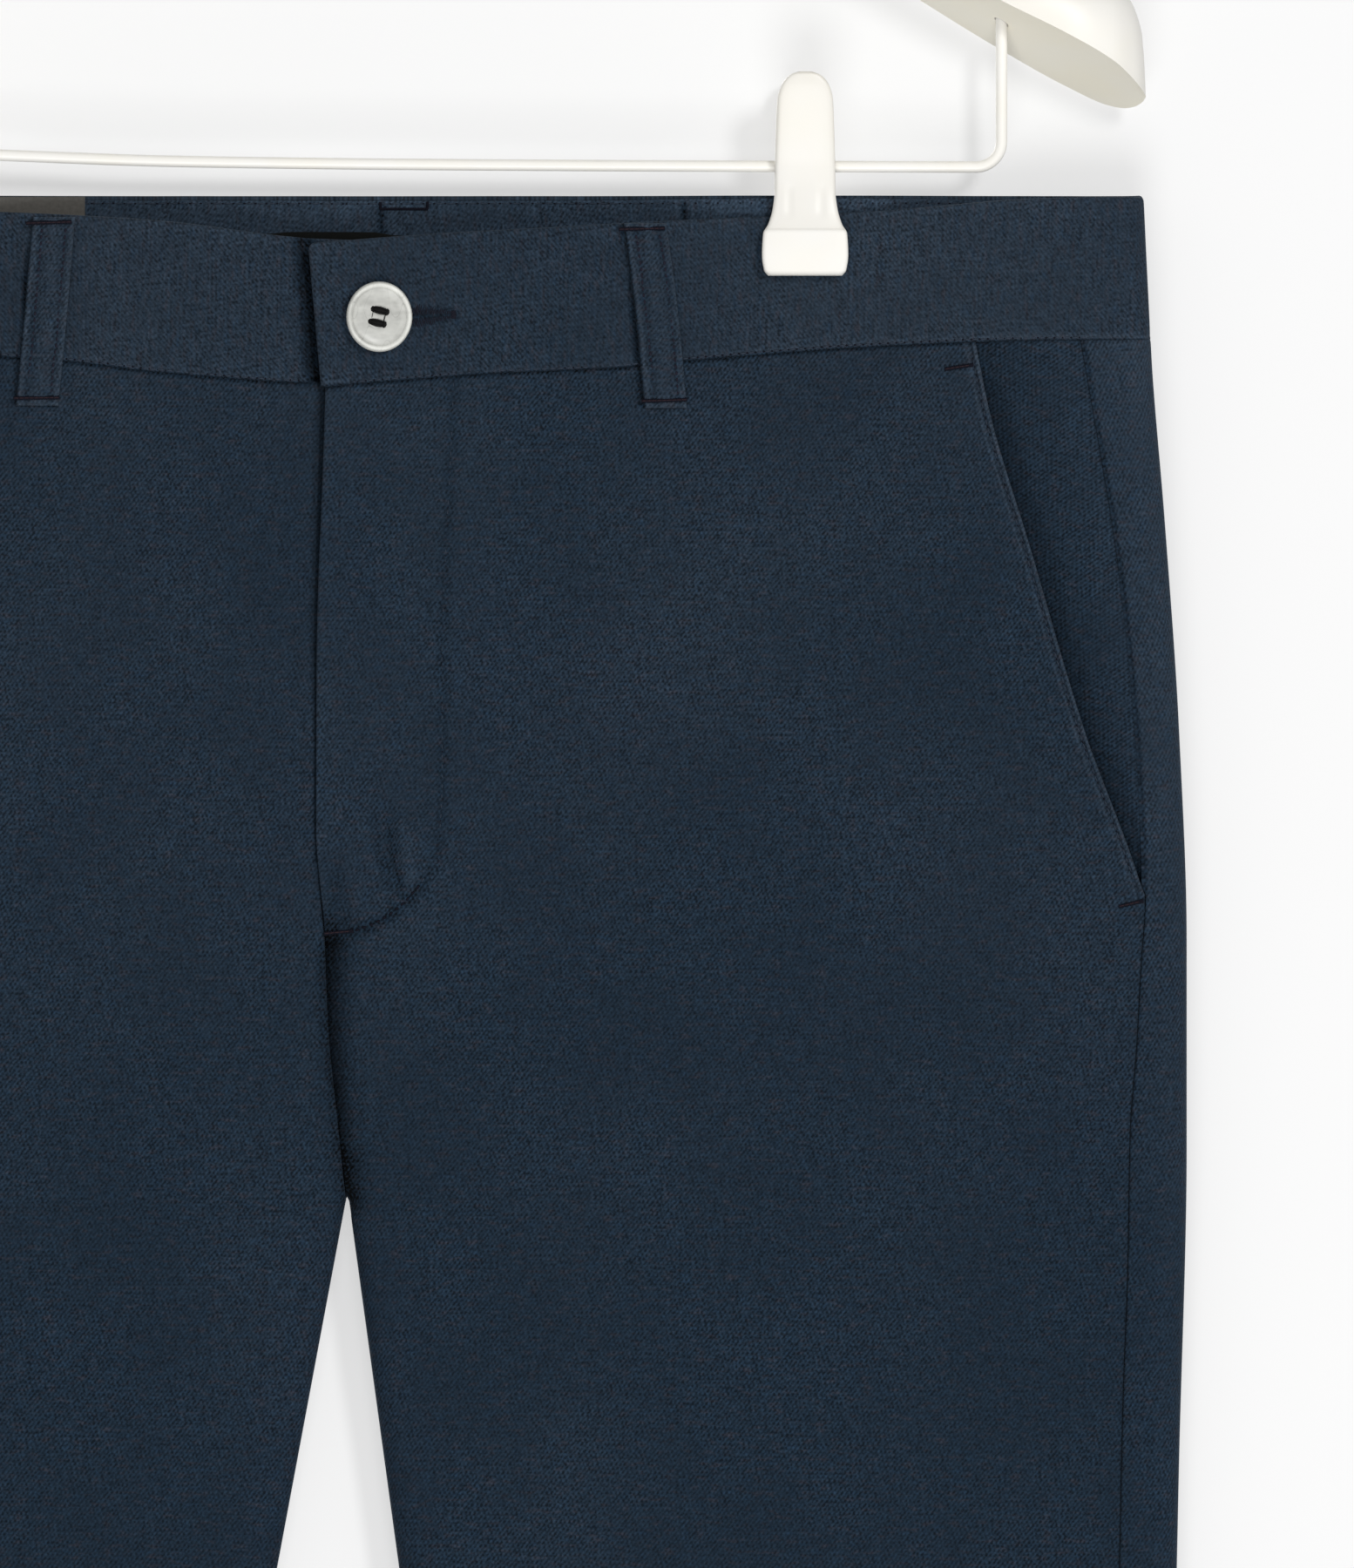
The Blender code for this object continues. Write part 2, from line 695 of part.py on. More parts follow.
def build_fly(group):
    def facing(across, along):
        drop = FLY_TOP + (FLY_DROP - 1.0 - FLY_TOP) * along
        start = fly_start(drop, 0.6)
        return start + (read(FLY_CURVE, drop, "x") - start) * across, drop

    def tapes(across, along):
        drop = FLY_TOP + (FLY_DROP - 15.0 - FLY_TOP) * along
        return fly_start(drop, -1.0 + 25.0 * across), drop

    def shield(across, along):
        drop = FLY_TOP + (FLY_DROP - FLY_TOP) * along
        start = fly_start(drop, -9.0)
        end = start + 42.0 - 16.0 * ease(0.75, 1.0, along)
        return start + (end - start) * across, drop

    def slider(across, along):
        half = 3.4 - 1.6 * ease(0.3, 0.5, along)
        return 8.5 + half * (2 * across - 1), FLY_TOP + 3.0 + 26.0 * along

    pieces = (
        ("fly_facing", "navy_twill", FACING_DEPTH, LINING, 4, 10, facing),
        ("zip_tapes", "dark_lining", ZIP_DEPTH, LINING, 3, 8, tapes),
        ("fly_shield", "navy_twill", SHIELD_DEPTH, LINING, 4, 10, shield),
        ("zip_slider", "zip_metal", UNDERLAP_DEPTH, CLOTH, 2, 6, slider),
    )
    for name, material, depth, wall, columns, rows, place in pieces:
        build_strip(name, material, -1, 1, depth, wall, columns, rows, place, group)


BAG_GAP = LINING + 2 * LAYER_GAP  # room for the facing between the layers of the bag


def build_pocket(leg, group):
    """The facing that shows behind the slanted edge, and the flat bag that it closes."""
    side = "left" if leg > 0 else "right"
    facing_depth = FACING_DEPTH + LINING + LAYER_GAP

    def facing(column, row):
        top = read(BAND_EDGES[leg], leg * 190, "seam") + GAP
        drop = top + (POCKET_FOOT - FACING_SHORT - top) * row / 12
        edge, seam = read(POCKET_EDGE, drop, "x"), read(SIDE_SEAM, drop, "x")
        mouth, end = edge + 1.2, seam - GAP
        knots = (edge - POCKET_UNDER, edge - POCKET_UNDER / 2, mouth, (mouth + end) / 2, end)
        x = knots[column]
        shown = ease(edge + 1.0, max(seam, edge + 9.0), x)
        depth = facing_depth + (FACING_SEAM_DEPTH - facing_depth) * shown
        return pair_on_cloth(leg * x, drop, -1, leg, depth, LINING)

    wall_object(f"pocket_facing_{side}", 4, 12, facing, "navy_twill", group)

    turn = (BAG_GAP + 2 * LINING) / 2
    layers = 4

    def bag(column, row):
        drop = BAG_TOP + (BAG_FOOT - BAG_TOP) * row / 9
        inner = BAG_INNER_X + 10.0 * ease(0.6, 1.0, row / 9)
        mouth = min(read(POCKET_EDGE, drop, "x") - 1.0, read(SIDE_SEAM, drop, "x") - 3.0)
        hidden = read(SIDE_SEAM, drop, "x") - 2.0
        if drop > POCKET_FOOT:
            mouth = hidden = read(SIDE_SEAM, drop, "x") - 3.0 - 30.0 * ease(200, BAG_FOOT, drop)
        front, back = FACING_DEPTH, FACING_DEPTH + 2 * LINING + BAG_GAP
        start, middle = inner + turn, (front + back) / 2
        if column <= layers:
            x = mouth + (start - mouth) * column / layers
            spots = ((x, front), (x, front + LINING))
        elif column <= layers + 3:
            angle = radians(180 * (column - layers) / 4)
            out = ((start - turn * sin(angle)), middle - turn * cos(angle))
            small = turn - LINING
            spots = (out, ((start - small * sin(angle)), middle - small * cos(angle)))
        else:
            x = start + (hidden - start) * (column - layers - 4) / layers
            spots = ((x, back), (x, back - LINING))
        return tuple(on_cloth(leg * x, drop, -1, leg, depth) for x, depth in spots)

    wall_object(f"pocket_bag_{side}", 2 * layers + 4, 9, bag, "pocketing", group)


def build_loops(group):
    for loop in LOOPS:
        leg = 1 if loop.x_top > 0 else -1

        def faces(column, row, loop=loop, leg=leg):
            along = row / 8
            x = loop.x_top + (loop.x_foot - loop.x_top) * along
            x += LOOP_WIDTH * (column / 2 - 0.5)
            drop = loop.top + (loop.foot - loop.top) * along
            rise = LOOP_RISE * sin(pi * along) ** 0.5 if 0 < row < 8 else 0.0
            inner = on_cloth(x, drop, loop.face, leg, -GAP - rise)
            return on_cloth(x, drop, loop.face, leg, -GAP - rise - LOOP_CLOTH), inner

        wall_object(loop.name, 2, 8, faces, "navy_twill", group)


def build_band_trim(group):
    """The curtain and the blank label, both on the inside of the back waistband."""
    depth = BAND + LAYER_GAP

    def curtain(across, along):
        x = CURTAIN_X[0] + (CURTAIN_X[1] - CURTAIN_X[0]) * across
        return x, CURTAIN_DROP[0] + (CURTAIN_DROP[1] - CURTAIN_DROP[0]) * along

    def label(across, along):
        x = LABEL_X[0] + (LABEL_X[1] - LABEL_X[0]) * across
        return x, LABEL_DROP[0] + (LABEL_DROP[1] - LABEL_DROP[0]) * along

    build_strip(
        "waistband_curtain", "dark_lining", 1, 1, depth, LINING, 8, 3, curtain, group
    )
    build_strip("label", "label_cloth", 1, -1, depth, LINING, 4, 2, label, group)


def button_centre():
    """Middle of the button's back face, just clear of the left waistband."""
    return on_cloth(BUTTON_X, BUTTON_DROP, -1, 1, -GAP)


def build_button(group, cutters):
    """A turned four-hole button whose thread shank passes through the buttonhole."""
    face, rim = BUTTON_THICK, BUTTON_RADIUS
    dish = rim * 0.72
    foot = -(BAND + GAP)
    profile = [
        (0.0, face - 0.9),
        (dish - 1.0, face - 0.9),
        (dish, face - 0.25),
        (dish + 0.8, face),
        (rim - 0.8, face - 0.2),
        (rim, face - 1.1),
        (rim - 0.3, 0.7),
        (rim - 1.6, 0.0),
        (SHANK_RADIUS, 0.0),
        (SHANK_RADIUS, foot),
        (0.0, foot),
    ]
    shape = bmesh.new()
    ring = [shape.verts.new(Vector((r, 0.0, h)) * MM) for r, h in profile]
    for start, end in zip(ring, ring[1:]):
        shape.edges.new((start, end))
    mesh = bpy.data.meshes.new("button")
    shape.to_mesh(mesh)
    shape.free()
    button = new_object("button", mesh, "pearl_button", group)
    button.location = button_centre() * MM
    button.rotation_euler = (radians(90), 0.0, 0.0)
    turned = button.modifiers.new("turned", "SCREW")
    turned.steps = turned.render_steps = 28
    turned.use_merge_vertices = True
    turned.merge_threshold = 0.00001
    turned.use_smooth_shade = True
    middle = button_centre()
    for side, level in ((-1, -1), (1, -1), (-1, 1), (1, 1)):
        offset = Vector((side, 0.0, level)) * BUTTON_HOLE_OFFSET
        start = middle + offset + Vector((0.0, 1.0, 0.0))
        end = middle + offset - Vector((0.0, BUTTON_THICK + 1.0, 0.0))
        name = f"button_bore_{side}_{level}"
        cut(button, rod_cutter(name, start, end, BUTTON_HOLE_RADIUS, cutters, 10))


def cut_buttonhole(band, cutters):
    shape = bmesh.new()
    bmesh.ops.create_cube(shape, size=1.0)
    size = Vector((SLOT_END - SLOT_START, 3.5 * BAND, SLOT_HEIGHT)) * MM
    bmesh.ops.scale(shape, vec=size, verts=shape.verts[:])
    mesh = bpy.data.meshes.new("buttonhole_cutter")
    shape.to_mesh(mesh)
    shape.free()
    cutter = new_object("buttonhole_cutter", mesh, None, cutters)
    middle = on_cloth((SLOT_START + SLOT_END) / 2, BUTTON_DROP, -1, 1, BAND / 2)
    cutter.location = middle * MM
    cutter.hide_render = True
    cutter.display_type = "WIRE"
    cut(band, cutter)


# ---- hanger pieces ------------------------------------------------------------------
def arm_ring(x):
    """Section of the moulded arms: a slanted underside closed by a rounded top."""
    row = {c: read(ARM, abs(x), c) for c in ("front", "back", "crown", "half_depth")}
    places = []
    over = ARM_SIDES - ARM_UNDER_SIDES
    for k in range(ARM_SIDES):
        if k < ARM_UNDER_SIDES:
            share = k / ARM_UNDER_SIDES
            y = row["half_depth"] * (1 - 2 * share)
            z = row["back"] + (row["front"] - row["back"]) * share
        else:
            turn = pi * (k - ARM_UNDER_SIDES) / over
            share = (1 + cos(turn)) / 2
            y = -row["half_depth"] * cos(turn)
            z = row["back"] + (row["front"] - row["back"]) * share
            z += row["crown"] * sin(turn) ** 0.8
        places.append(Vector((x, y, z)))
    return places


def build_hanger_body(group, cutters):
    reach = ARM[-1].x
    half = [reach * sin(pi / 2 * k / ARM_SPANS) for k in range(ARM_SPANS + 1)]
    stations = [-x for x in reversed(half[1:])] + half
    rings = [arm_ring(x) for x in stations]
    shape = bmesh.new()
    bmesh.ops.create_grid(
        shape, x_segments=len(rings) - 1, y_segments=ARM_SIDES, size=0.5
    )
    for vertex in shape.verts:
        ring = rings[round((vertex.co.x + 0.5) * (len(rings) - 1))]
        side = round((vertex.co.y + 0.5) * ARM_SIDES)
        vertex.co = ring[side % ARM_SIDES]
    bmesh.ops.remove_doubles(shape, verts=shape.verts[:], dist=0.001)
    rim = [edge for edge in shape.edges if edge.is_boundary]
    bmesh.ops.holes_fill(shape, edges=rim, sides=0)
    body = mesh_object("hanger_body", shape, "white_plastic", group)
    bores = [("hook_bore", 0.0, STEM_FOOT_Z - GAP, -40.0, HOOK_WIRE)]
    bores += [
        (f"bar_bore_{side}", side * BAR_X, -190.0, BAR_TOP_Z + GAP, BAR_WIRE)
        for side in (-1, 1)
    ]
    for name, x, low, high, radius in bores:
        bore = rod_cutter(name, (x, 0, low), (x, 0, high), radius + BORE_CLEAR, cutters)
        cut(body, bore)
    return body


def build_hook(group):
    """Stem, then a round hook open towards -X; its inside top is the origin."""
    radius = HOOK_RADIUS + HOOK_WIRE
    middle = -HOOK_RADIUS
    stem = [(0.0, 0.0, z) for z in spread(STEM_FOOT_Z, -52.0, 3)]
    neck = [(1.2, 0.0, -48.0), (4.2, 0.0, -43.6)]
    arc = [
        (radius * cos(radians(a)), 0.0, middle + radius * sin(radians(a)))
        for a in spread(-64, 204, 22)
    ]
    wire_object("hanger_hook", stem + neck + arc, HOOK_WIRE, 2, "white_coated_wire", group)


def build_bar(group):
    """A wire bent to a U: up into both arms, and slightly bowed across."""
    route = []
    for side in (-1, 1):
        corner_z = read(BAR_LINE, side * (BAR_X - BAR_CORNER), "z") + BAR_CORNER
        corner = [
            (
                side * (BAR_X - BAR_CORNER + BAR_CORNER * cos(radians(a))),
                0.0,
                corner_z - BAR_CORNER * sin(radians(a)),
            )
            for a in (0, 22.5, 45, 67.5, 90)
        ]
        half = [(side * BAR_X, 0.0, z) for z in (BAR_TOP_Z, -168.0)] + corner
        route.append(half)
    inner = BAR_X - BAR_CORNER
    across = [(x, 0.0, read(BAR_LINE, x, "z")) for x in spread(-inner, inner, 10)[1:-1]]
    path = route[0] + across + list(reversed(route[1]))
    wire_object("trouser_bar", path, BAR_WIRE, 2, "white_coated_wire", group)


def build_jaw(name, side, facing, group):
    """One jaw of a clip; facing is -1 for the front jaw and 1 for the back one."""
    middle, bar_z = side * CLIP_X, read(BAR_LINE, side * CLIP_X, "z")

    def faces(column, row):
        jaw = JAW[row]
        across = 2 * column / JAW_SPANS - 1
        x = middle + jaw.half_width * sin(pi / 2 * across)
        crown = JAW_CROWN * (1 - sin(pi / 2 * abs(across)) ** 4)
        z = bar_z + jaw.height
        outer = Vector((x, -facing * (jaw.front + JAW_CROWN - crown), z))
        return outer, Vector((x, -facing * jaw.back, z))

    jaw = wall_object(name, JAW_SPANS, len(JAW) - 1, faces, "white_plastic", group)
    rounded = jaw.modifiers.new("rounded", "BEVEL")
    rounded.width = 0.45 * MM
    rounded.segments = 1
    rounded.limit_method = "ANGLE"
    rounded.angle_limit = radians(50)
    return jaw


def build_coil(name, side, group):
    """The spring between the levers of a clip, lying just above the bar."""
    middle = side * CLIP_X
    height = read(BAR_LINE, middle, "z") + COIL_HEIGHT
    steps = COIL_TURNS * COIL_STEPS
    route = []
    for k in range(steps + 1):
        turn = 2 * pi * k / COIL_STEPS
        x = middle + COIL_LENGTH * (k / steps - 0.5)
        route.append((x, COIL_RADIUS * cos(turn), height + COIL_RADIUS * sin(turn)))
    wire_object(name, route, COIL_WIRE, 1, "spring_steel", group)


def build_clips(group):
    for side, word in ((1, "left"), (-1, "right")):
        build_jaw(f"clip_{word}_front_jaw", side, -1, group)
        build_jaw(f"clip_{word}_back_jaw", side, 1, group)
        build_coil(f"clip_{word}_spring", side, group)


def main():
    clear_scene()
    parts = make_collection("bermuda_shorts_on_hanger")
    cutters = make_collection("cutters")
    for leg in (1, -1):
        build_front(leg, parts)
        build_back(leg, parts)
        band = build_waistband(leg, parts)
        if leg > 0:
            cut_buttonhole(band, cutters)
        build_pocket(leg, parts)
    build_fly(parts)
    build_loops(parts)
    build_band_trim(parts)
    build_button(parts, cutters)
    build_hanger_body(parts, cutters)
    build_hook(parts)
    build_bar(parts)
    build_clips(parts)


if __name__ == "__main__":
    main()
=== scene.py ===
"""Linen bermuda shorts on a white clip hanger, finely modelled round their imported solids.

Tables and sizes are in millimetres, and MM makes them metres. "drop" is the distance below
the top edge of the back waistband. "leg" is 1 for the wearer's left half (+X) and -1 for
the right half. "face" is -1 for the front and 1 for the back. "lift" is a height above the
cloth's outer surface, and a negative lift lies inside it.
"""

from collections import namedtuple
from math import cos, pi, radians, sin, tan

import bmesh
import bpy
import numpy as np
from mathutils import Matrix, Vector


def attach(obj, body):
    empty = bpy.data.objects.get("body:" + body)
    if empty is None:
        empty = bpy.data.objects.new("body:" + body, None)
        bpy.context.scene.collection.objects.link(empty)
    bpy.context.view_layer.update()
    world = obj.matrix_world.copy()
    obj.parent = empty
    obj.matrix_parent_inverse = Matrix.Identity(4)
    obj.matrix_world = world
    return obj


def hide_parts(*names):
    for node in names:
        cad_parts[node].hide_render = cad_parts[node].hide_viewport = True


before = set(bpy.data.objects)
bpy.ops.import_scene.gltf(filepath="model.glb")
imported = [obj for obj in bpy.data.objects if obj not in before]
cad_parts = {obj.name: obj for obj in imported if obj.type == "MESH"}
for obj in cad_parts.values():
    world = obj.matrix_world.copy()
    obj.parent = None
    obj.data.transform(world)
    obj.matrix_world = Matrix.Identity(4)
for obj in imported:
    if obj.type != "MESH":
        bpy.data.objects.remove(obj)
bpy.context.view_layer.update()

bl_info = {
    "name": "Linen Bermuda Shorts on a Hanger",
    "version": (1, 0, 0),
    "blender": (4, 5, 0),
    "location": "View3D > Sidebar > Shorts",
    "description": "Builds navy linen bermuda shorts, clipped to a white hanger, with a stage",
    "category": "Object",
}

MM = 0.001


# ---- lines and stations --------------------------------------------------------------
class Line:
    """A smooth curve through a few points that never overshoots them."""

    def __init__(self, *points):
        self.keys, self.values = np.array(points, float).T
        rise = np.diff(self.values) / np.diff(self.keys)
        before, after = rise[:-1], rise[1:]
        both = np.where(before + after == 0, 1.0, before + after)
        middle = np.where(before * after > 0, 2 * before * after / both, 0.0)
        self.slopes = np.concatenate([rise[:1], middle, rise[-1:]])

    def __call__(self, at):
        at = np.clip(at, self.keys[0], self.keys[-1])
        last = len(self.keys) - 2
        i = np.clip(np.searchsorted(self.keys, at, side="right") - 1, 0, last)
        width = self.keys[i + 1] - self.keys[i]
        t = (at - self.keys[i]) / width
        start = self.values[i] * (1 + 2 * t) + self.slopes[i] * width * t
        end = self.values[i + 1] * (3 - 2 * t) - self.slopes[i + 1] * width * (1 - t)
        return start * (1 - t) ** 2 + end * t * t


def ease(start, end, at):
    """0 at start, 1 at end, level at both."""
    t = np.clip((at - start) / (end - start), 0.0, 1.0)
    return t * t * (3 - 2 * t)


def bump(distance, half_width):
    return np.exp(-((distance / half_width) ** 2))


def graded(*knots):
    """Stations from the first knot to the last; a knot is a place and the step there."""
    places = [float(knots[0][0])]
    for (start, step), (end, next_step) in zip(knots, knots[1:]):
        count = max(1, round(2 * abs(end - start) / (step + next_step)))
        steps = np.linspace(step, next_step, count)
        places += list(start + (end - start) * np.cumsum(steps) / steps.sum())
    return np.array(places)


def columns(near, far, middle):
    """Shares of a piece's width, and distances added, that place its columns."""
    near, far = np.array(near, float), np.array(far, float)
    share = np.linspace(0, 1, middle + 1)[1:-1]
    shift = near[-1] - (near[-1] + far[-1]) * share
    shares = np.concatenate([0 * near, share, 0 * far + 1])
    return shares, np.concatenate([near, shift, -far[::-1]])


def across(start, end, layout):
    shares, shifts = layout
    return start + (end - start) * shares + np.sign(end - start) * shifts


def unevenness(a, b, size, seed):
    """Smooth, repeatable unevenness between -1 and 1, in patches of a size."""
    table = np.random.default_rng(seed).uniform(-1, 1, (64, 64))
    a, b = np.asarray(a) / size + 31.7, np.asarray(b) / size + 17.3
    i, j = np.floor(a).astype(int), np.floor(b).astype(int)
    u, v = a - i, b - j
    u, v = u * u * (3 - 2 * u), v * v * (3 - 2 * v)
    low = table[i % 64, j % 64] * (1 - u) + table[(i + 1) % 64, j % 64] * u
    high = table[i % 64, (j + 1) % 64] * (1 - u) + table[(i + 1) % 64, (j + 1) % 64] * u
    return low * (1 - v) + high * v


# ---- the cut and the hang of the shorts ------------------------------------------------
SIDE = {1: "left", -1: "right"}
GAP = 0.3  # between pieces that are sewn edge to edge
LAYER_GAP = 0.45  # between layers that lie on each other
WAIST_Z = -208.6  # height of the top edge of the back waistband
BACK_SEAM = 39.6  # drop of the waistband's lower edge at the back
CROTCH_X, CROTCH_DROP = 0.6, 277.2
HEM_DROP = 505.8
HEM_FOLD = 30.0
HEM_STITCH = 28.0
FLY_TOP, FLY_DROP = 53.6, 203.0
CLOTH, BAND, LINING = 1.4, 2.0, 1.0
SHELL = 1.0  # thickness of one layer of the twill as it is modelled here
BAND_WALL = 1.9  # the same for the waistband
BODY_DEPTH = 8.5  # from the middle to the outer surface, without folds
FOLD_RUN = 8.0  # how far from the outline a face starts to round into it
LAP = 1.2  # how far the front runs on under the back strip, below the pocket
CLIP_X = 127.0
BUTTON_X, BUTTON_DROP, BUTTON_RADIUS, BUTTON_THICK = 9.5, 33.1, 9.62, 3.0
TIP_RADIUS = 2.2  # of the rounded top corner at the waistband's free end
FAR = 99.0  # stands for the distance to an edge that a face doesn't have

OUTLINE = {
    -1: Line(
        (0, -220.0), (46, -222.5), (90, -226.0), (147, -230.0), (205, -232.0),
        (262, -233.2), (349, -234.6), (HEM_DROP, -237.4),
    ),
    1: Line(
        (0, 220.3), (46, 222.7), (90, 226.3), (147, 230.2), (205, 232.3),
        (262, 232.3), (349, 230.2), (HEM_DROP, 227.0),
    ),
}
INSEAM_LEAN = {1: radians(7.8), -1: radians(10.6)}
CENTRE_FRONT = Line(
    (40, -4.9), (67, -5.7), (128, -7.7), (174, -7.8), (FLY_DROP, -5.4), (229, -4.3),
    (258, -1.4), (CROTCH_DROP, CROTCH_X),
)
CENTRE_BACK_TOP_X = 16.0
BAND_TOP = {
    1: Line((-9, 12.7), (25, 10.1), (60, 8.2), (95, 6.2), (145, 3.9), (193, 0.4), (221, 0)),
    -1: Line(
        (-221, 0), (-190, 0.4), (-127, 2.8), (-78, 4.8), (-50, 6.6), (-8, 11.4), (34, 12.4)
    ),
}
BAND_SEAM = {
    1: Line(
        (-9, 52.8), (25, 50.0), (40, 48.9), (62, 48.0), (79, 47.0), (96, 45.2),
        (113, 43.7), (145, 41.4), (193, 39.7), (221, BACK_SEAM),
    ),
    -1: Line(
        (-221, BACK_SEAM), (-190, 39.8), (-127, 42.4), (-78, 45.4), (-50, 48.6),
        (-8, 51.6), (34, 52.2),
    ),
}
BAND_TIP = {1: (-10.0, -6.4), -1: (32.0, 32.0)}
POCKET_FOOT = 192.4
POCKET_EDGE = Line(
    (39, 173.8), (60, 178.1), (95, 188.6), (148, 204.4), (179, 216.0), (POCKET_FOOT, 220.6)
)
SIDE_SEAM = Line(
    (39, 203.6), (66, 208.3), (90, 212.3), (114, 215.5), (138, 217.9), (162, 219.6),
    (POCKET_FOOT, 220.7), (212, 219.5), (234, 218.3), (258, 216.5), (294, 215.9),
    (330, 214.6), (374, 213.6), (HEM_DROP, 211.4),
)
FLY_CURVE = Line(
    (49, 33.4), (66, 33.2), (128, 29.6), (176, 28.6), (188, 25.0), (197, 16.0), (203, 5.0)
)
J_STITCH = (
    (30.2, 50.5), (29.6, 66), (27.9, 100), (26.9, 128), (27.0, 160), (25.8, 180),
    (21.0, 189.5), (15.6, 195.3), (9.0, 199.9), (2.6, 202.4),
)
WRINKLE = Line((158, 11.0), (167, 11.6), (176, 12.7), (184, 13.9), (192, 16.2))
FACING_DEPTH = CLOTH + LAYER_GAP
UNDERLAP_DEPTH = FACING_DEPTH + LINING + LAYER_GAP
ZIP_DEPTH = UNDERLAP_DEPTH + CLOTH + LAYER_GAP
SHIELD_DEPTH = ZIP_DEPTH + LINING + LAYER_GAP
POCKET_DEPTH = FACING_DEPTH + LINING + LAYER_GAP

# long soft folds of the hanging cloth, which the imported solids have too
Fold = namedtuple("Fold", "face x_top x_foot top foot half_width height")
FOLDS = [
    Fold(-1, 118, 96, 40, 270, 26, 0.9),
    Fold(-1, 52, 62, 70, 250, 18, -0.8),
    Fold(-1, 150, 128, 150, 500, 34, 0.8),
    Fold(-1, -120, -98, 40, 260, 26, 0.9),
    Fold(-1, -56, -70, 90, 270, 20, -0.7),
    Fold(-1, -150, -140, 170, 500, 36, 0.8),
    Fold(1, 124, 100, 40, 280, 28, 0.9),
    Fold(1, -124, -92, 40, 270, 28, 0.8),
    Fold(1, 136, 128, 180, 500, 36, -0.7),
    Fold(1, -140, -132, 170, 500, 36, -0.7),
]

# smaller creases, given one by one: soft ridges (+) and troughs (-) that fade at both ends
Crease = namedtuple("Crease", "face x_top top x_foot foot half_width height")
CREASES = [
    # the short wrinkle beside the foot of the fly, then below the fly and round the crotch
    Crease(-1, 12.0, 164, 16.0, 194, 1.0, -0.9),
    Crease(-1, 16.0, 162, 19.5, 190, 2.6, 0.5),
    Crease(-1, 24, 196, 52, 214, 6, 0.5),
    Crease(-1, 14, 240, 44, 214, 7, -0.55),
    Crease(-1, -18, 232, -52, 206, 8, -0.5),
    Crease(-1, 8, 262, 60, 246, 6, 0.4),
    Crease(-1, -10, 262, -58, 240, 7, 0.45),
    # down the fly
    Crease(-1, 8, 70, 6, 170, 5, 0.35),
    Crease(-1, 20, 60, 19, 190, 4, -0.25),
    # under the waistband, below loops and clips
    Crease(-1, 96, 62, 108, 104, 7, 0.55),
    Crease(-1, 128, 50, 134, 118, 9, -0.6),
    Crease(-1, 160, 58, 148, 128, 8, 0.5),
    Crease(-1, 64, 60, 72, 110, 6, -0.4),
    Crease(-1, -30, 62, -40, 118, 7, 0.45),
    Crease(-1, -72, 66, -62, 124, 8, -0.5),
    Crease(-1, -104, 58, -112, 110, 8, 0.55),
    Crease(-1, -140, 56, -134, 130, 9, -0.6),
    Crease(-1, -172, 62, -160, 118, 8, 0.45),
    # down the legs
    Crease(-1, 62, 300, 48, 470, 11, 0.6),
    Crease(-1, 96, 290, 92, 500, 14, -0.7),
    Crease(-1, 172, 250, 166, 420, 10, -0.5),
    Crease(-1, 190, 330, 184, 500, 9, 0.45),
    Crease(-1, -60, 300, -78, 480, 12, 0.6),
    Crease(-1, -104, 280, -116, 490, 13, -0.65),
    Crease(-1, -186, 240, -192, 430, 10, 0.5),
    Crease(-1, -206, 360, -208, 500, 8, -0.4),
    Crease(-1, 204, 214, 190, 268, 7, 0.45),
    Crease(-1, -204, 210, -188, 276, 7, 0.4),
    # the hidden back, much the same
    Crease(1, 60, 62, 76, 130, 10, 0.55),
    Crease(1, 120, 52, 126, 120, 10, -0.6),
    Crease(1, 168, 66, 150, 140, 9, 0.5),
    Crease(1, -52, 60, -66, 128, 9, 0.5),
    Crease(1, -118, 54, -128, 124, 10, -0.6),
    Crease(1, -170, 70, -154, 136, 9, 0.5),
    Crease(1, 10, 236, 58, 206, 8, -0.6),
    Crease(1, -8, 238, -56, 210, 8, -0.55),
    Crease(1, 14, 264, 70, 250, 8, 0.5),
    Crease(1, -12, 262, -66, 244, 8, 0.5),
    Crease(1, 70, 296, 58, 480, 13, 0.6),
    Crease(1, 112, 280, 118, 500, 14, -0.6),
    Crease(1, 182, 300, 176, 470, 11, 0.5),
    Crease(1, -76, 300, -66, 470, 12, 0.6),
    Crease(1, -120, 286, -112, 500, 14, -0.6),
    Crease(1, -184, 280, -190, 460, 11, 0.5),
    # the fine arc across the side strip, at the foot of the pocket
    Crease(-1, 218, 187, 230, 189.5, 0.8, -0.3),
]


def outline_x(drop, leg):
    return OUTLINE[leg](drop)


def inseam_x(drop, leg):
    below = np.maximum(drop - CROTCH_DROP, 0.0)
    return CROTCH_X + leg * (GAP / 2 + below * tan(INSEAM_LEAN[leg]))


def edge_distance(x, drop, leg):
    """How far a place lies inside the outline of its half of the shorts."""
    outer = leg * (outline_x(drop, leg) - x)
    apex = np.hypot(x - inseam_x(drop, leg), CROTCH_DROP - drop)
    inner = leg * (x - inseam_x(drop, leg)) * cos(INSEAM_LEAN[leg])
    return np.minimum(outer, np.where(drop <= CROTCH_DROP, apex, inner))


def pinch(x, drop):
    """1 where a clip closes the waistband, and fading away from it."""
    beside = np.maximum(0.0, np.abs(np.abs(x) - CLIP_X) - 12.5) / 30.0
    below = np.maximum(0.0, drop - 24.0) / 30.0
    return np.exp(-(beside**2) - below**2)


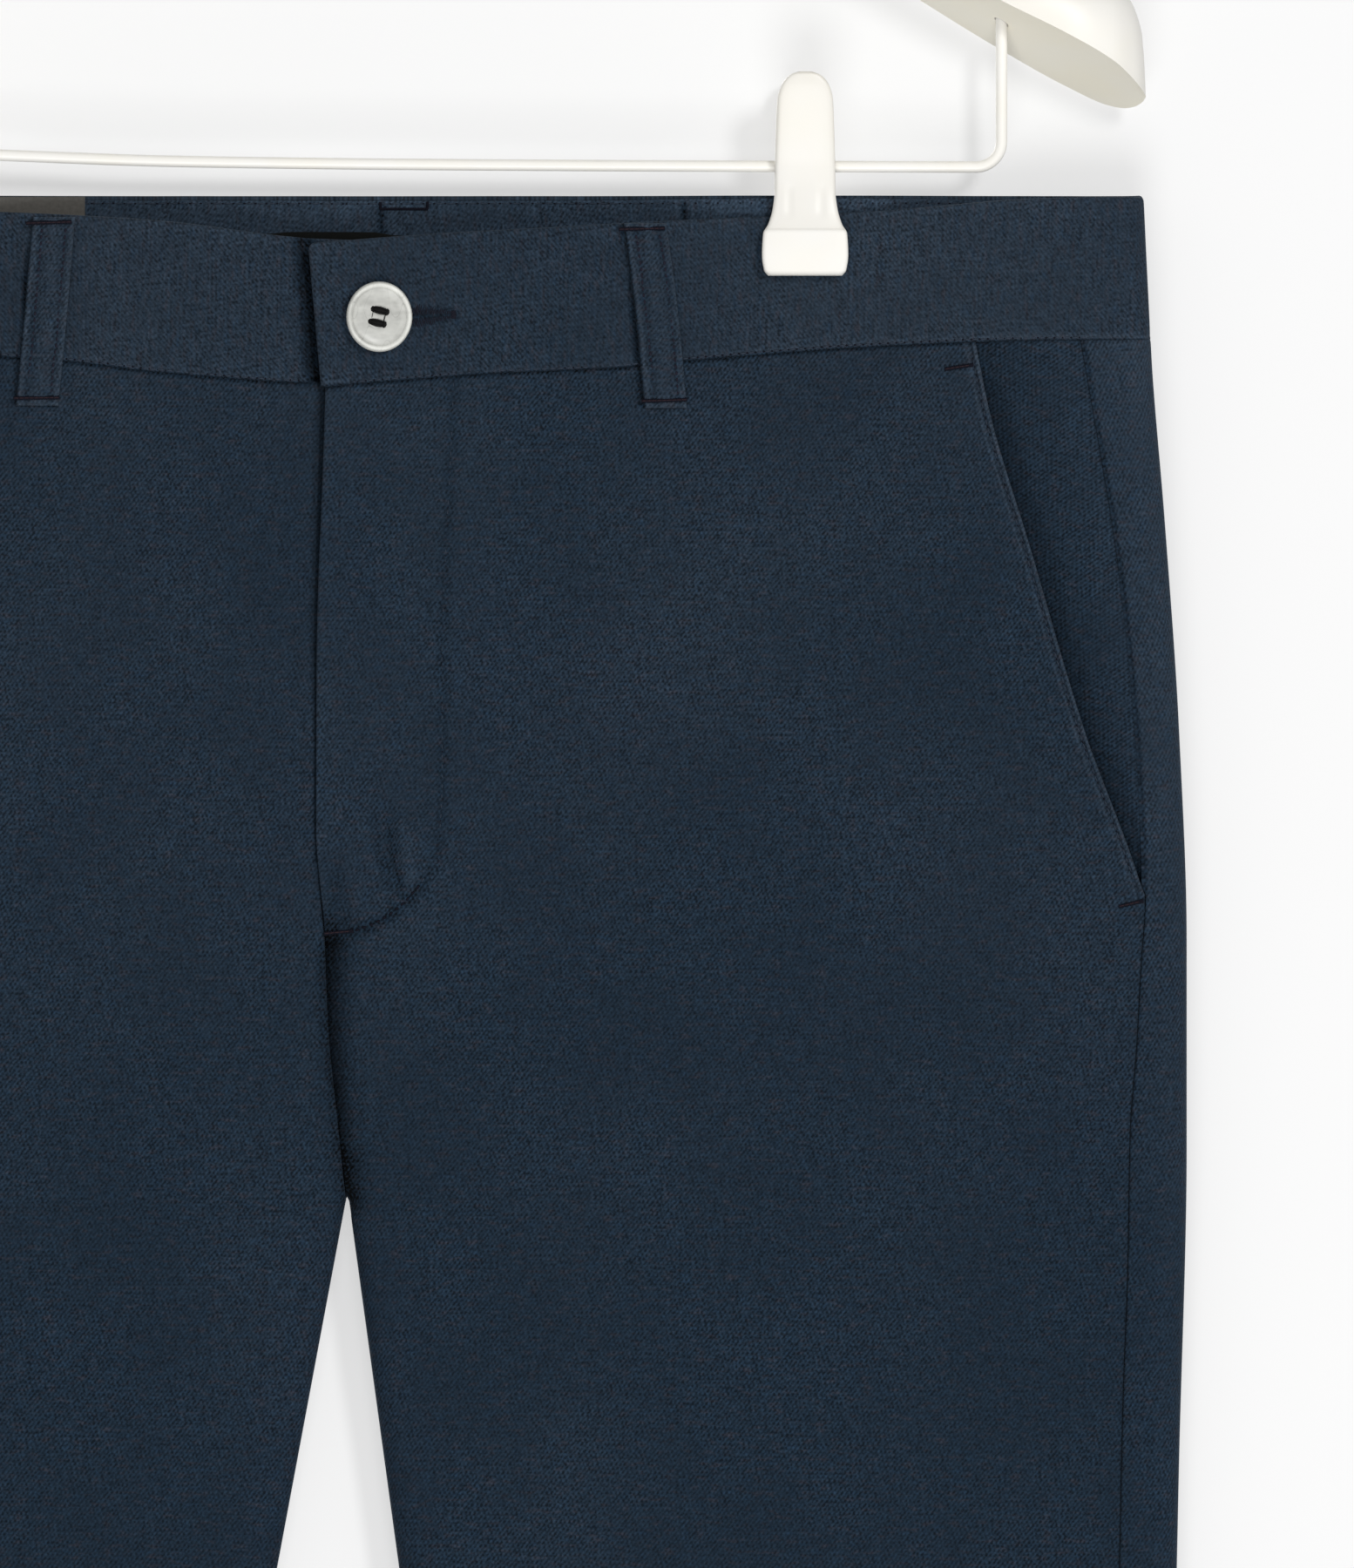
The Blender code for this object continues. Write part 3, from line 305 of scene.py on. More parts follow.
def relief(x, drop, face):
    """Height of the folds, creases and small unevenness of one face."""
    total = np.zeros(np.broadcast(x, drop, face).shape)
    for fold in FOLDS:
        along = np.clip((drop - fold.top) / (fold.foot - fold.top), 0, 1)
        middle = fold.x_top + (fold.x_foot - fold.x_top) * along
        height = fold.height * bump(x - middle, fold.half_width) * np.sin(pi * along) ** 2
        total = total + height * (face == fold.face)
    strength = settings().crease_height
    for crease in CREASES:
        run = np.array([crease.x_foot - crease.x_top, crease.foot - crease.top])
        length = np.hypot(*run)
        a, b = (x - crease.x_top), (drop - crease.top)
        along = np.clip((a * run[0] + b * run[1]) / length**2, 0, 1)
        beside = (a * run[1] - b * run[0]) / length
        wander = 0.35 * crease.half_width * np.sin(along * 7 + crease.x_top)
        height = crease.height * bump(beside + wander, crease.half_width)
        total = total + strength * height * np.sin(pi * along) * (face == crease.face)
    seed = np.where(np.asarray(face) > 0, 400.0, 0.0)
    below = ease(30, 80, drop)
    rough = 0.30 * below * unevenness(x + seed, drop, 41, 3)
    rough = rough + 0.16 * unevenness(x + seed, drop, 17, 5)
    rough = rough + 0.05 * unevenness(x + seed, drop, 6.5, 7)
    return total + strength * rough


def surface(x, drop, face, leg):
    """Places on the outer surface: a nearly flat face that rounds into the outline."""
    inside = np.clip(edge_distance(x, drop, leg), 0, FOLD_RUN)
    tuck = pinch(x, drop)
    depth = BODY_DEPTH + relief(x, drop, face) * (1 - tuck)
    depth = depth + (BAND + GAP / 2 - depth) * tuck
    y = face * depth * (1 - (1 - inside / FOLD_RUN) ** 2.3) ** (1 / 2.3)
    return np.stack(np.broadcast_arrays(x, y, WAIST_Z - drop), -1)


def facing_out(x, drop, face, leg):
    """Unit directions straight out of the surface, away from its side folds."""
    step = 0.4
    ahead = surface(x + step, drop, face, leg) - surface(x - step, drop, face, leg)
    down = surface(x, drop + step, face, leg) - surface(x, drop - step, face, leg)
    out = np.cross(ahead, down)
    out /= np.linalg.norm(out, axis=-1, keepdims=True)
    return out * np.sign(out[..., 1] * face)[..., None]


def raised(x, drop, face, leg, lift):
    """Places at a height above the surface."""
    x, drop = np.asarray(x, float), np.asarray(drop, float)
    lift = np.broadcast_to(lift, x.shape)
    return surface(x, drop, face, leg) + facing_out(x, drop, face, leg) * lift[..., None]


def edge_roll(distance, radius):
    """How far a turned edge has rounded inwards at a distance from it."""
    t = np.clip(1 - distance / radius, 0, 1)
    return radius * (1 - np.sqrt(1 - t * t))


# a falloff away from an edge: edge wear, and on the belt loops painted shade and a painted
# highlight
def edge_wear_and_shade(distance, reach=1.3):
    return np.exp(-np.maximum(distance, 0) / reach)


def loop_shadow(x, drop, face):
    """1 where a belt loop's shadow is painted along its left edge, 0 away from it."""
    total = np.zeros(np.broadcast(x, drop, face).shape)
    for loop in LOOPS:
        corner = bump(x - loop_middle(loop, drop) + LOOP_WIDTH / 2 + 0.25, 0.5)
        along = ease(loop.top - 0.5, loop.top + 2, drop)
        along = along * (1 - ease(loop.foot - 1, loop.foot, drop))
        total = total + corner * along * (face == loop.face)
    return total


# ---- shader tools ----------------------------------------------------------------------
class Wire:
    """A node's output that can be used in sums."""

    def __init__(self, shader, socket):
        self.shader, self.socket = shader, socket

    def sum(self, operation, *values):
        inputs = dict(enumerate(values))
        return self.shader.node("ShaderNodeMath", {"operation": operation}, inputs)[0]

    def __add__(self, other):
        return self.sum("ADD", self, other)

    def __sub__(self, other):
        return self.sum("SUBTRACT", self, other)

    def __rsub__(self, other):
        return self.sum("SUBTRACT", other, self)

    def __mul__(self, other):
        return self.sum("MULTIPLY", self, other)

    def __pow__(self, other):
        return self.sum("POWER", self, other)

    def sine(self):
        return self.sum("SINE", self)

    def between(self, low, high):
        """0 below low, 1 above high, smooth between."""
        inputs = {"Value": self, "From Min": low, "From Max": high}
        settings = {"interpolation_type": "SMOOTHSTEP"}
        return self.shader.node("ShaderNodeMapRange", settings, inputs)["Result"]

    __radd__, __rmul__ = __add__, __mul__


class Outputs:
    """A node's outputs, by name or place."""

    def __init__(self, shader, node):
        self.shader, self.node = shader, node

    def __getitem__(self, key):
        if isinstance(key, int):
            return Wire(self.shader, self.node.outputs[key])
        found = next(s for s in self.node.outputs if s.enabled and s.name == key)
        return Wire(self.shader, found)


class Shader:
    """A material under construction, with one Principled shader."""

    def __init__(self, name):
        self.material = bpy.data.materials.new(name)
        self.material.use_nodes = True
        self.tree = self.material.node_tree
        self.tree.nodes.clear()

    def node(self, kind, settings=None, inputs=None):
        node = self.tree.nodes.new(kind)
        for key, value in (settings or {}).items():
            setattr(node, key, value)
        for key, value in (inputs or {}).items():
            if isinstance(key, int):
                socket = node.inputs[key]
            else:
                socket = next(s for s in node.inputs if s.enabled and s.name == key)
            if isinstance(value, Wire):
                self.tree.links.new(value.socket, socket)
            else:
                socket.default_value = value
        return Outputs(self, node)

    def noise(self, vector, scale, detail=2.0, roughness=0.5):
        inputs = {"Vector": vector, "Scale": scale, "Detail": detail, "Roughness": roughness}
        return self.node("ShaderNodeTexNoise", None, inputs)["Fac"]

    def stretched(self, vector, scale, turn=0.0):
        inputs = {"Vector": vector, "Scale": scale, "Rotation": (0, 0, turn)}
        return self.node("ShaderNodeMapping", None, inputs)["Vector"]

    def mix(self, factor, a, b):
        inputs = {"Factor": factor, "A": a, "B": b}
        return self.node("ShaderNodeMix", {"data_type": "RGBA"}, inputs)["Result"]

    def scale_colour(self, colour, amount):
        inputs = {0: colour, "Scale": amount}
        return self.node("ShaderNodeVectorMath", {"operation": "SCALE"}, inputs)["Vector"]

    def bump(self, height, distance, strength=1.0):
        inputs = {"Height": height, "Distance": distance, "Strength": strength}
        return self.node("ShaderNodeBump", None, inputs)["Normal"]

    def finish(self, preview, **inputs):
        """Connect the surface; a word's underscores are the spaces of a socket's name."""
        names = {key.replace("_", " "): value for key, value in inputs.items()}
        shader = self.node("ShaderNodeBsdfPrincipled", None, names)["BSDF"]
        self.node("ShaderNodeOutputMaterial", None, {"Surface": shader})
        self.material.diffuse_color = (*preview, 1.0)
        return self.material


def coordinates(shader):
    """Where a point lies on its object, in millimetres."""
    place = shader.node("ShaderNodeTexCoord")["Object"]
    return shader.stretched(place, (1000,) * 3)


def twill_material(
    name, colour, ribs=1.0, faded=0.0, lean=39, columns=0.12, streaks=1.0
):
    """Navy linen twill: dotted ribs, uneven yarns, a patchy fade, painted light and painted
    shade.
    """
    s = Shader(name)
    uv = s.node("ShaderNodeUVMap", {"uv_map": "grain"})["UV"]
    split = s.node(
        "ShaderNodeSeparateXYZ", None, {"Vector": s.stretched(uv, (1000,) * 3)}
    )
    u, v = split["X"], split["Y"]
    picks = s.noise(s.stretched(uv, (150, 900, 1)), 1.0, 2.0) - 0.5
    ends = s.noise(s.stretched(uv, (900, 120, 1)), 1.0, 2.0) - 0.5
    wobble = s.noise(s.stretched(uv, (240,) * 3), 1.0, 2.0) - 0.5
    yarn = s.noise(s.stretched(uv, (1150,) * 3), 1.0, 1.5, 0.6) - 0.5
    clumps = s.noise(s.stretched(uv, (330, 260, 1)), 1.0, 2.0) - 0.5
    patches = s.noise(s.stretched(uv, (26, 20, 1)), 1.0, 3.0, 0.6)
    lean = radians(lean)
    turns = 2 * pi * MM / settings().weave_pitch
    slant = u * (turns * cos(lean)) - v * (turns * sin(lean)) + wobble * 2.9 + picks * 1.8
    level = v * (2 * pi / 1.13) + ends * 2.5 + wobble * 3.0
    dots = slant.sine() * 0.60 + (slant + level).sine() * 0.32 + level.sine() * columns
    depth = patches.between(0.36, 0.64) * 0.5 + 0.75
    tone = dots * (0.43 * ribs) + yarn * 2.3 + picks * (0.5 * streaks)
    tone = tone + ends * 0.5 + clumps * 0.6
    tone = tone * depth + (patches - 0.5) * 0.40 + 1.0
    tone = tone.sum("MAXIMUM", tone, 0.38)
    # the cloth's own attribute: edge wear, with painted shade below 0 and painted highlights
    # above 0, laid on by the build functions
    wear_and_shade = s.node("ShaderNodeAttribute", {"attribute_name": "wear_and_shade"})["Fac"]
    # the cloth greys and pales towards the top: painted light, as if falling from above; the
    # cloudy part is the cloth's own patchy fade
    up = s.node("ShaderNodeSeparateXYZ", None, {"Vector": coordinates(s)})["Z"]
    cloudy = s.noise(s.stretched(coordinates(s), (0.011, 0.011, 0.008)), 1.0, 2.0) - 0.5
    wash_and_light = up.between(-700, -230) * 0.32 + cloudy * 0.60 + wear_and_shade * 0.5 + faded
    grey = tuple(0.014 + 1.15 * c for c in colour)
    shade = s.mix(wash_and_light.between(0.0, 1.0), (*colour, 1), (*grey, 1))
    hue = s.noise(s.stretched(uv, (240, 620, 1)), 1.0, 3.0, 0.65)
    shade = s.mix(hue.between(0.50, 0.72) * 0.42, shade, (0.031, 0.026, 0.031, 1))
    shade = s.mix(hue.between(0.47, 0.30) * 0.45, shade, (0.010, 0.024, 0.046, 1))
    tone = tone + wear_and_shade * 0.45
    return s.finish(
        colour,
        Base_Color=s.scale_colour(shade, tone),
        Roughness=0.9,
        Specular_IOR_Level=0.08,
        Sheen_Weight=0.05,
        Sheen_Roughness=0.5,
        Sheen_Tint=(0.45, 0.6, 0.8, 1),
        Normal=s.bump(dots * 0.5 + yarn, 0.00014, 0.7),
    )


def plain_weave_material(name, colour, thread=0.5, contrast=0.3):
    """A fine plain cloth, for linings, tapes and the label."""
    s = Shader(name)
    uv = s.node("ShaderNodeUVMap", {"uv_map": "grain"})["UV"]
    split = s.node(
        "ShaderNodeSeparateXYZ", None, {"Vector": s.stretched(uv, (1000,) * 3)}
    )
    u = (split["X"] * (2 * pi / thread)).sine()
    v = (split["Y"] * (2 * pi / thread)).sine()
    height = u * v * 0.5 + 0.5
    yarn = s.noise(s.stretched(uv, (900,) * 3), 1.0, 2.0)
    tone = 1.0 + contrast * (height - 0.5) + 0.5 * (yarn - 0.5)
    return s.finish(
        colour,
        Base_Color=s.scale_colour(colour, tone),
        Roughness=0.9,
        Specular_IOR_Level=0.1,
        Sheen_Weight=0.03,
        Normal=s.bump(height, 0.0001, 0.6),
    )


def thread_material(name, colour):
    s = Shader(name)
    fibre = s.noise(s.stretched(coordinates(s), (3.0, 3.0, 3.0)), 1.0, 2.0)
    return s.finish(
        colour,
        Base_Color=s.scale_colour(colour, 0.5 + fibre),
        Roughness=0.75,
        Specular_IOR_Level=0.1,
        Normal=s.bump(fibre, 0.0001, 0.5),
    )


def plastic_material(name, colour, rough=0.38, grain=0.00002, warmth=0.02):
    """White moulded plastic with a hardly visible orange-peel grain."""
    s = Shader(name)
    place = coordinates(s)
    skin = s.noise(s.stretched(place, (0.9,) * 3), 1.0, 3.0)
    cloud = s.noise(s.stretched(place, (0.05,) * 3), 1.0, 2.0)
    tinted = tuple(c * f for c, f in zip(colour, (1.0, 1 - warmth / 2, 1 - 2 * warmth)))
    return s.finish(
        colour,
        Base_Color=s.mix(cloud.between(0.3, 0.7), (*colour, 1), (*tinted, 1)),
        Roughness=rough + 0.08 * (skin - 0.5),
        Specular_IOR_Level=0.4,
        Normal=s.bump(skin, grain, 0.4),
    )


def pearl_material(name, colour):
    """Mother-of-pearl look: a cloudy grey dish with hair lines, with a rim and an outer ring
    paled by painted light.
    """
    s = Shader(name)
    place = coordinates(s)
    bands = s.noise(s.stretched(place, (0.16, 0.2, 0.5), 0.6), 1.0, 2.0, 0.45)
    clouds = s.noise(s.stretched(place, (0.6,) * 3), 1.0, 4.0)
    lines = s.noise(s.stretched(place, (0.28, 0.1, 0.12)), 1.0, 0.0) - 0.5
    hair = 1.0 - lines.sum("ABSOLUTE", lines).between(0.0, 0.014)
    split = s.node("ShaderNodeSeparateXYZ", None, {"Vector": place})
    beside, above = split["X"] - BUTTON_X, split["Z"] - (WAIST_Z - BUTTON_DROP)
    radius = (beside * beside + above * above) ** 0.5
    # painted light: the rim paler than the dish, which lies in slight shade, and a paler ring
    # round the dish where highlights fall
    rim = radius.between(7.6, 8.3) * 0.42 + radius.between(5.8, 6.6) * 0.10
    tone = 0.70 + 0.60 * bands + 0.42 * (clouds - 0.5) - 0.22 * hair + rim
    return s.finish(
        colour,
        Base_Color=s.scale_colour(colour, tone),
        Roughness=0.34 + 0.15 * clouds,
        Specular_IOR_Level=0.5,
        Coat_Weight=0.12,
        Coat_Roughness=0.2,
        Normal=s.bump(clouds, 0.00004, 0.3),
    )


def metal_material(name, colour, rough=0.3):
    s = Shader(name)
    marks = s.noise(s.stretched(coordinates(s), (4, 4, 0.8)), 1.0, 3.0)
    return s.finish(
        colour,
        Base_Color=s.scale_colour(colour, 0.9 + 0.2 * marks),
        Metallic=1.0,
        Roughness=rough + 0.2 * (marks - 0.5),
        Normal=s.bump(marks, 0.00002, 0.3),
    )


def material(kind):
    """The finish of that name, made once from the settings' colours."""
    name = f"{kind}_finish"
    if name in bpy.data.materials:
        return bpy.data.materials[name]
    chosen = settings()
    navy = tuple(chosen.cloth_colour)
    # a paler, more washed copy of the band's twill for the inside of the waistband: painted
    # light against the shade it lies in
    pale = tuple(1.5 * c for c in navy)
    white = tuple(chosen.plastic_colour)
    makers = {
        "navy_linen_twill": lambda: twill_material(name, navy),
        "navy_twill_band": lambda: twill_material(name, navy, 0.68, 0.12, 50, 0.2, 1.7),
        "navy_twill_inside_lit": lambda: twill_material(name, pale, 0.68, 0.30, 50, 0.2, 1.7),
        "navy_twill_facing": lambda: twill_material(name, navy, 1.1, -0.08),
        "navy_twill_loop": lambda: twill_material(name, navy, 0.8, 0.12),
        "navy_pocketing": lambda: plain_weave_material(name, (0.015, 0.022, 0.032)),
        "black_lining": lambda: plain_weave_material(name, (0.0045, 0.005, 0.0045)),
        "label_tape": lambda: plain_weave_material(name, (0.098, 0.094, 0.086), 0.36),
        "navy_thread": lambda: thread_material(name, tuple(chosen.thread_colour)),
        "edge_thread": lambda: thread_material(name, (0.028, 0.038, 0.056)),
        "loop_thread": lambda: thread_material(name, (0.0125, 0.012, 0.021)),
        "buttonhole_thread": lambda: thread_material(name, (0.0085, 0.0085, 0.015)),
        # a pale brownish line along the bartacks: painted sheen
        "bartack_sheen": lambda: thread_material(name, (0.026, 0.015, 0.019)),
        "black_thread": lambda: thread_material(name, (0.006, 0.006, 0.006)),
        "pearl_button": lambda: pearl_material(name, tuple(chosen.button_colour)),
        "white_plastic": lambda: plastic_material(name, white),
        "clip_plastic": lambda: plastic_material(name, tuple(0.95 * c for c in white)),
        "clip_pad_plastic": lambda: plastic_material(name, (0.90, 0.886, 0.85), 0.6, 0.00005),
        # a paler, warmer copy of the white plastic for the arms' downward faces; the paleness
        # is painted light against their shade
        "arm_underside_lit": lambda: plastic_material(name, (0.95, 0.915, 0.80), 0.5),
        "white_coated_wire": lambda: plastic_material(name, (0.92, 0.905, 0.865), 0.3),
        "spring_steel": lambda: metal_material(name, (0.45, 0.45, 0.46)),
        "zip_brass": lambda: metal_material(name, (0.36, 0.33, 0.29), 0.35),
    }
    return makers[kind]()


# ---- making pieces ---------------------------------------------------------------------
def settings():
    return bpy.context.scene.shorts


def new_object(name, data):
    made = bpy.data.objects.new(name, data)
    bpy.context.scene.collection.objects.link(made)
    return made


def mesh_of(name, shape):
    """A finished shape as a mesh; the shape itself is freed."""
    mesh = bpy.data.meshes.new(name)
    shape.to_mesh(mesh)
    shape.free()
    return mesh


def face_outwards(shape):
    bmesh.ops.recalc_face_normals(shape, faces=shape.faces[:])
    if shape.calc_volume(signed=True) < 0:
        bmesh.ops.reverse_faces(shape, faces=shape.faces[:])


def join_piece(name, mesh, finish, nodes=()):
    """Make a mesh a piece of the shorts or the hanger, standing for its CAD nodes."""
    piece = new_object(name, mesh)
    mesh.materials.append(material(finish))
    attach(piece, "root")
    if nodes:
        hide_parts(*nodes)
    return piece


def grid_mesh(name, places):
    """A grid of places as a mesh in metres, with the row and column of each vertex."""
    rows, cols = places.shape[:2]
    shape = bmesh.new()
    bmesh.ops.create_grid(shape, x_segments=cols - 1, y_segments=rows - 1, size=0.5)
    mesh = mesh_of(name, shape)
    flat = np.zeros(len(mesh.vertices) * 3)
    mesh.vertices.foreach_get("co", flat)
    flat = flat.reshape(-1, 3) + 0.5
    col = np.rint(flat[:, 0] * (cols - 1)).astype(int)
    row = np.rint(flat[:, 1] * (rows - 1)).astype(int)
    mesh.vertices.foreach_set("co", (places[row, col] * MM).ravel())
    mesh.update()
    return mesh, row, col


def grid_out(places):
    """Directions out of a grid, from its own neighbouring places."""
    out = np.cross(np.gradient(places, axis=1), np.gradient(places, axis=0))
    return out / np.maximum(np.linalg.norm(out, axis=-1, keepdims=True), 1e-9)


def cloth_piece(
    name, x, drop, face, leg, lift, finish="navy_linen_twill", nodes=(), wall=SHELL,
    grain=0.0, wear_and_shade=0.0, wraps=False, slot="navy_twill",
):
    """One cut piece of cloth, laid at a height on the surface of the shorts."""
    x, drop, face = np.broadcast_arrays(np.asarray(x, float), drop, face)
    lift = np.broadcast_to(lift, x.shape)
    base = surface(x, drop, face, leg)
    middle = x.shape[1] // 2
    if wraps:
        out = grid_out(base)
        side = np.mean(out[:, middle, 1] * face[:, middle])
        out = out * np.sign(side)
    else:
        out = facing_out(x, drop, face, leg)
    places = base + out * lift[..., None]
    mesh, row, col = grid_mesh(name, places)
    steps = np.linalg.norm(np.diff(base, axis=1), axis=-1)
    arc = np.concatenate([np.zeros((len(x), 1)), np.cumsum(steps, axis=1)], 1)
    arc = arc - arc[:, middle : middle + 1]
    heading = leg if wraps else np.sign(x[0, -1] - x[0, 0]) * -face[0, middle]
    u = heading * arc - face[:, middle : middle + 1] * x[:, middle : middle + 1]
    v = -drop
    u, v = u * cos(grain) - v * sin(grain), u * sin(grain) + v * cos(grain)
    corner = np.zeros(len(mesh.loops), int)
    mesh.loops.foreach_get("vertex_index", corner)
    layer = mesh.uv_layers.new(name="grain")
    spots = np.stack([u[row, col], v[row, col]], -1)[corner] * MM
    layer.data.foreach_set("uv", spots.ravel())
    # this attribute carries edge wear together with painted shade and painted highlights
    wear_and_shade_layer = mesh.attributes.new("wear_and_shade", "FLOAT", "POINT")
    wear_and_shade_layer.data.foreach_set("value", np.broadcast_to(wear_and_shade, x.shape)[row, col].ravel())
    heart = mesh.polygons[len(mesh.polygons) // 2]
    spot = np.array(heart.center) / MM
    nearest = np.argmin(np.sum((places - spot) ** 2, -1))
    if np.dot(heart.normal, out.reshape(-1, 3)[nearest]) < 0:
        mesh.flip_normals()
    mesh.shade_smooth()
    piece = join_piece(name, mesh, finish, nodes)
    shell = piece.modifiers.new("cloth thickness", "SOLIDIFY")
    shell.thickness = wall * MM
    shell.offset = -1.0
    return piece


FOLD_ANGLES = np.radians(np.linspace(90, 0, 9))
EDGE_STEPS = (0, 0.07, 0.22, 0.45, 0.75, 1.1, 1.5, 1.9, 2.4, 3.1, 4.0, 5.2, 6.6, 8.0)


def fold_run(angle):
    return FOLD_RUN * (1 - np.cos(angle))


def front_inner_x(drop, leg):
    if leg < 0:
        reach = 7.0 * (1 - ease(FLY_DROP - 22, FLY_DROP - 8, drop))
    else:
        reach = -1.8 * ease(FLY_DROP, FLY_DROP + 6, drop) * (1 - ease(256, 268, drop))
    above = CENTRE_FRONT(drop) + leg * GAP / 4 + reach
    return np.where(drop >= CROTCH_DROP, inseam_x(drop, leg), above)


def back_inner_x(drop, leg):
    fall = (drop - BACK_SEAM) / (CROTCH_DROP - BACK_SEAM)
    above = CENTRE_BACK_TOP_X + (CROTCH_X - CENTRE_BACK_TOP_X) * fall + leg * GAP / 4
    return np.where(drop >= CROTCH_DROP, inseam_x(drop, leg), above)


def front_outer_x(drop, leg):
    line = np.where(drop < POCKET_FOOT, POCKET_EDGE(drop), SIDE_SEAM(drop))
    return leg * (line - GAP / 4)


BODY_LEVELS = graded(
    (BACK_SEAM - 0.7, 0.2), (41.2, 0.5), (44, 1.4), (60, 2.1), (186, 2.1), (192.4, 1.2),
    (200, 1.6), (260, 2.0), (272, 1.0), (CROTCH_DROP, 0.5), (280, 1.0), (290, 2.1),
    (474, 2.1), (476.5, 0.4), (479.5, 0.4), (484, 2.0), (502, 1.8), (504.6, 0.35),
    (HEM_DROP, 0.12),
)


def level_drop(levels, x, leg):
    """The top row follows the waistband's seam, and rows below it level out."""
    sag = BAND_SEAM[leg](x) - BACK_SEAM
    return levels + sag * (1 - ease(BACK_SEAM, BACK_SEAM + 70, levels))


def hem_lift(drop):
    """A turned, twice-folded hem with a sunken row of stitches."""
    lift = 0.45 * ease(HEM_DROP - HEM_FOLD - 0.6, HEM_DROP - HEM_FOLD + 0.6, drop)
    lift = lift - 0.30 * bump(drop - (HEM_DROP - HEM_STITCH), 0.6)
    return lift - edge_roll(HEM_DROP - drop, 1.1)


def hem_pucker(x, drop, seed):
    near = bump(drop - (HEM_DROP - HEM_STITCH), 9)
    return 0.16 * near * unevenness(x, drop * 0.4, 4.2, seed)


def sampled(points, pitch):
    """Evenly spaced places along a smooth line through a few (x, drop) points."""
    points = np.array(points, float)
    run = np.concatenate([[0], np.cumsum(np.hypot(*np.diff(points, axis=0).T))])
    x, drop = Line(*zip(run, points[:, 0])), Line(*zip(run, points[:, 1]))
    at = np.linspace(0, run[-1], max(2, round(run[-1] / pitch) + 1))
    return np.stack([x(at), drop(at)], -1)


def distance_to(points, x, drop):
    line = sampled(points, 1.0)
    nearest = np.full(x.shape, 1e9)
    for a, b in line:
        nearest = np.minimum(nearest, (x - a) ** 2 + (drop - b) ** 2)
    return np.sqrt(nearest)


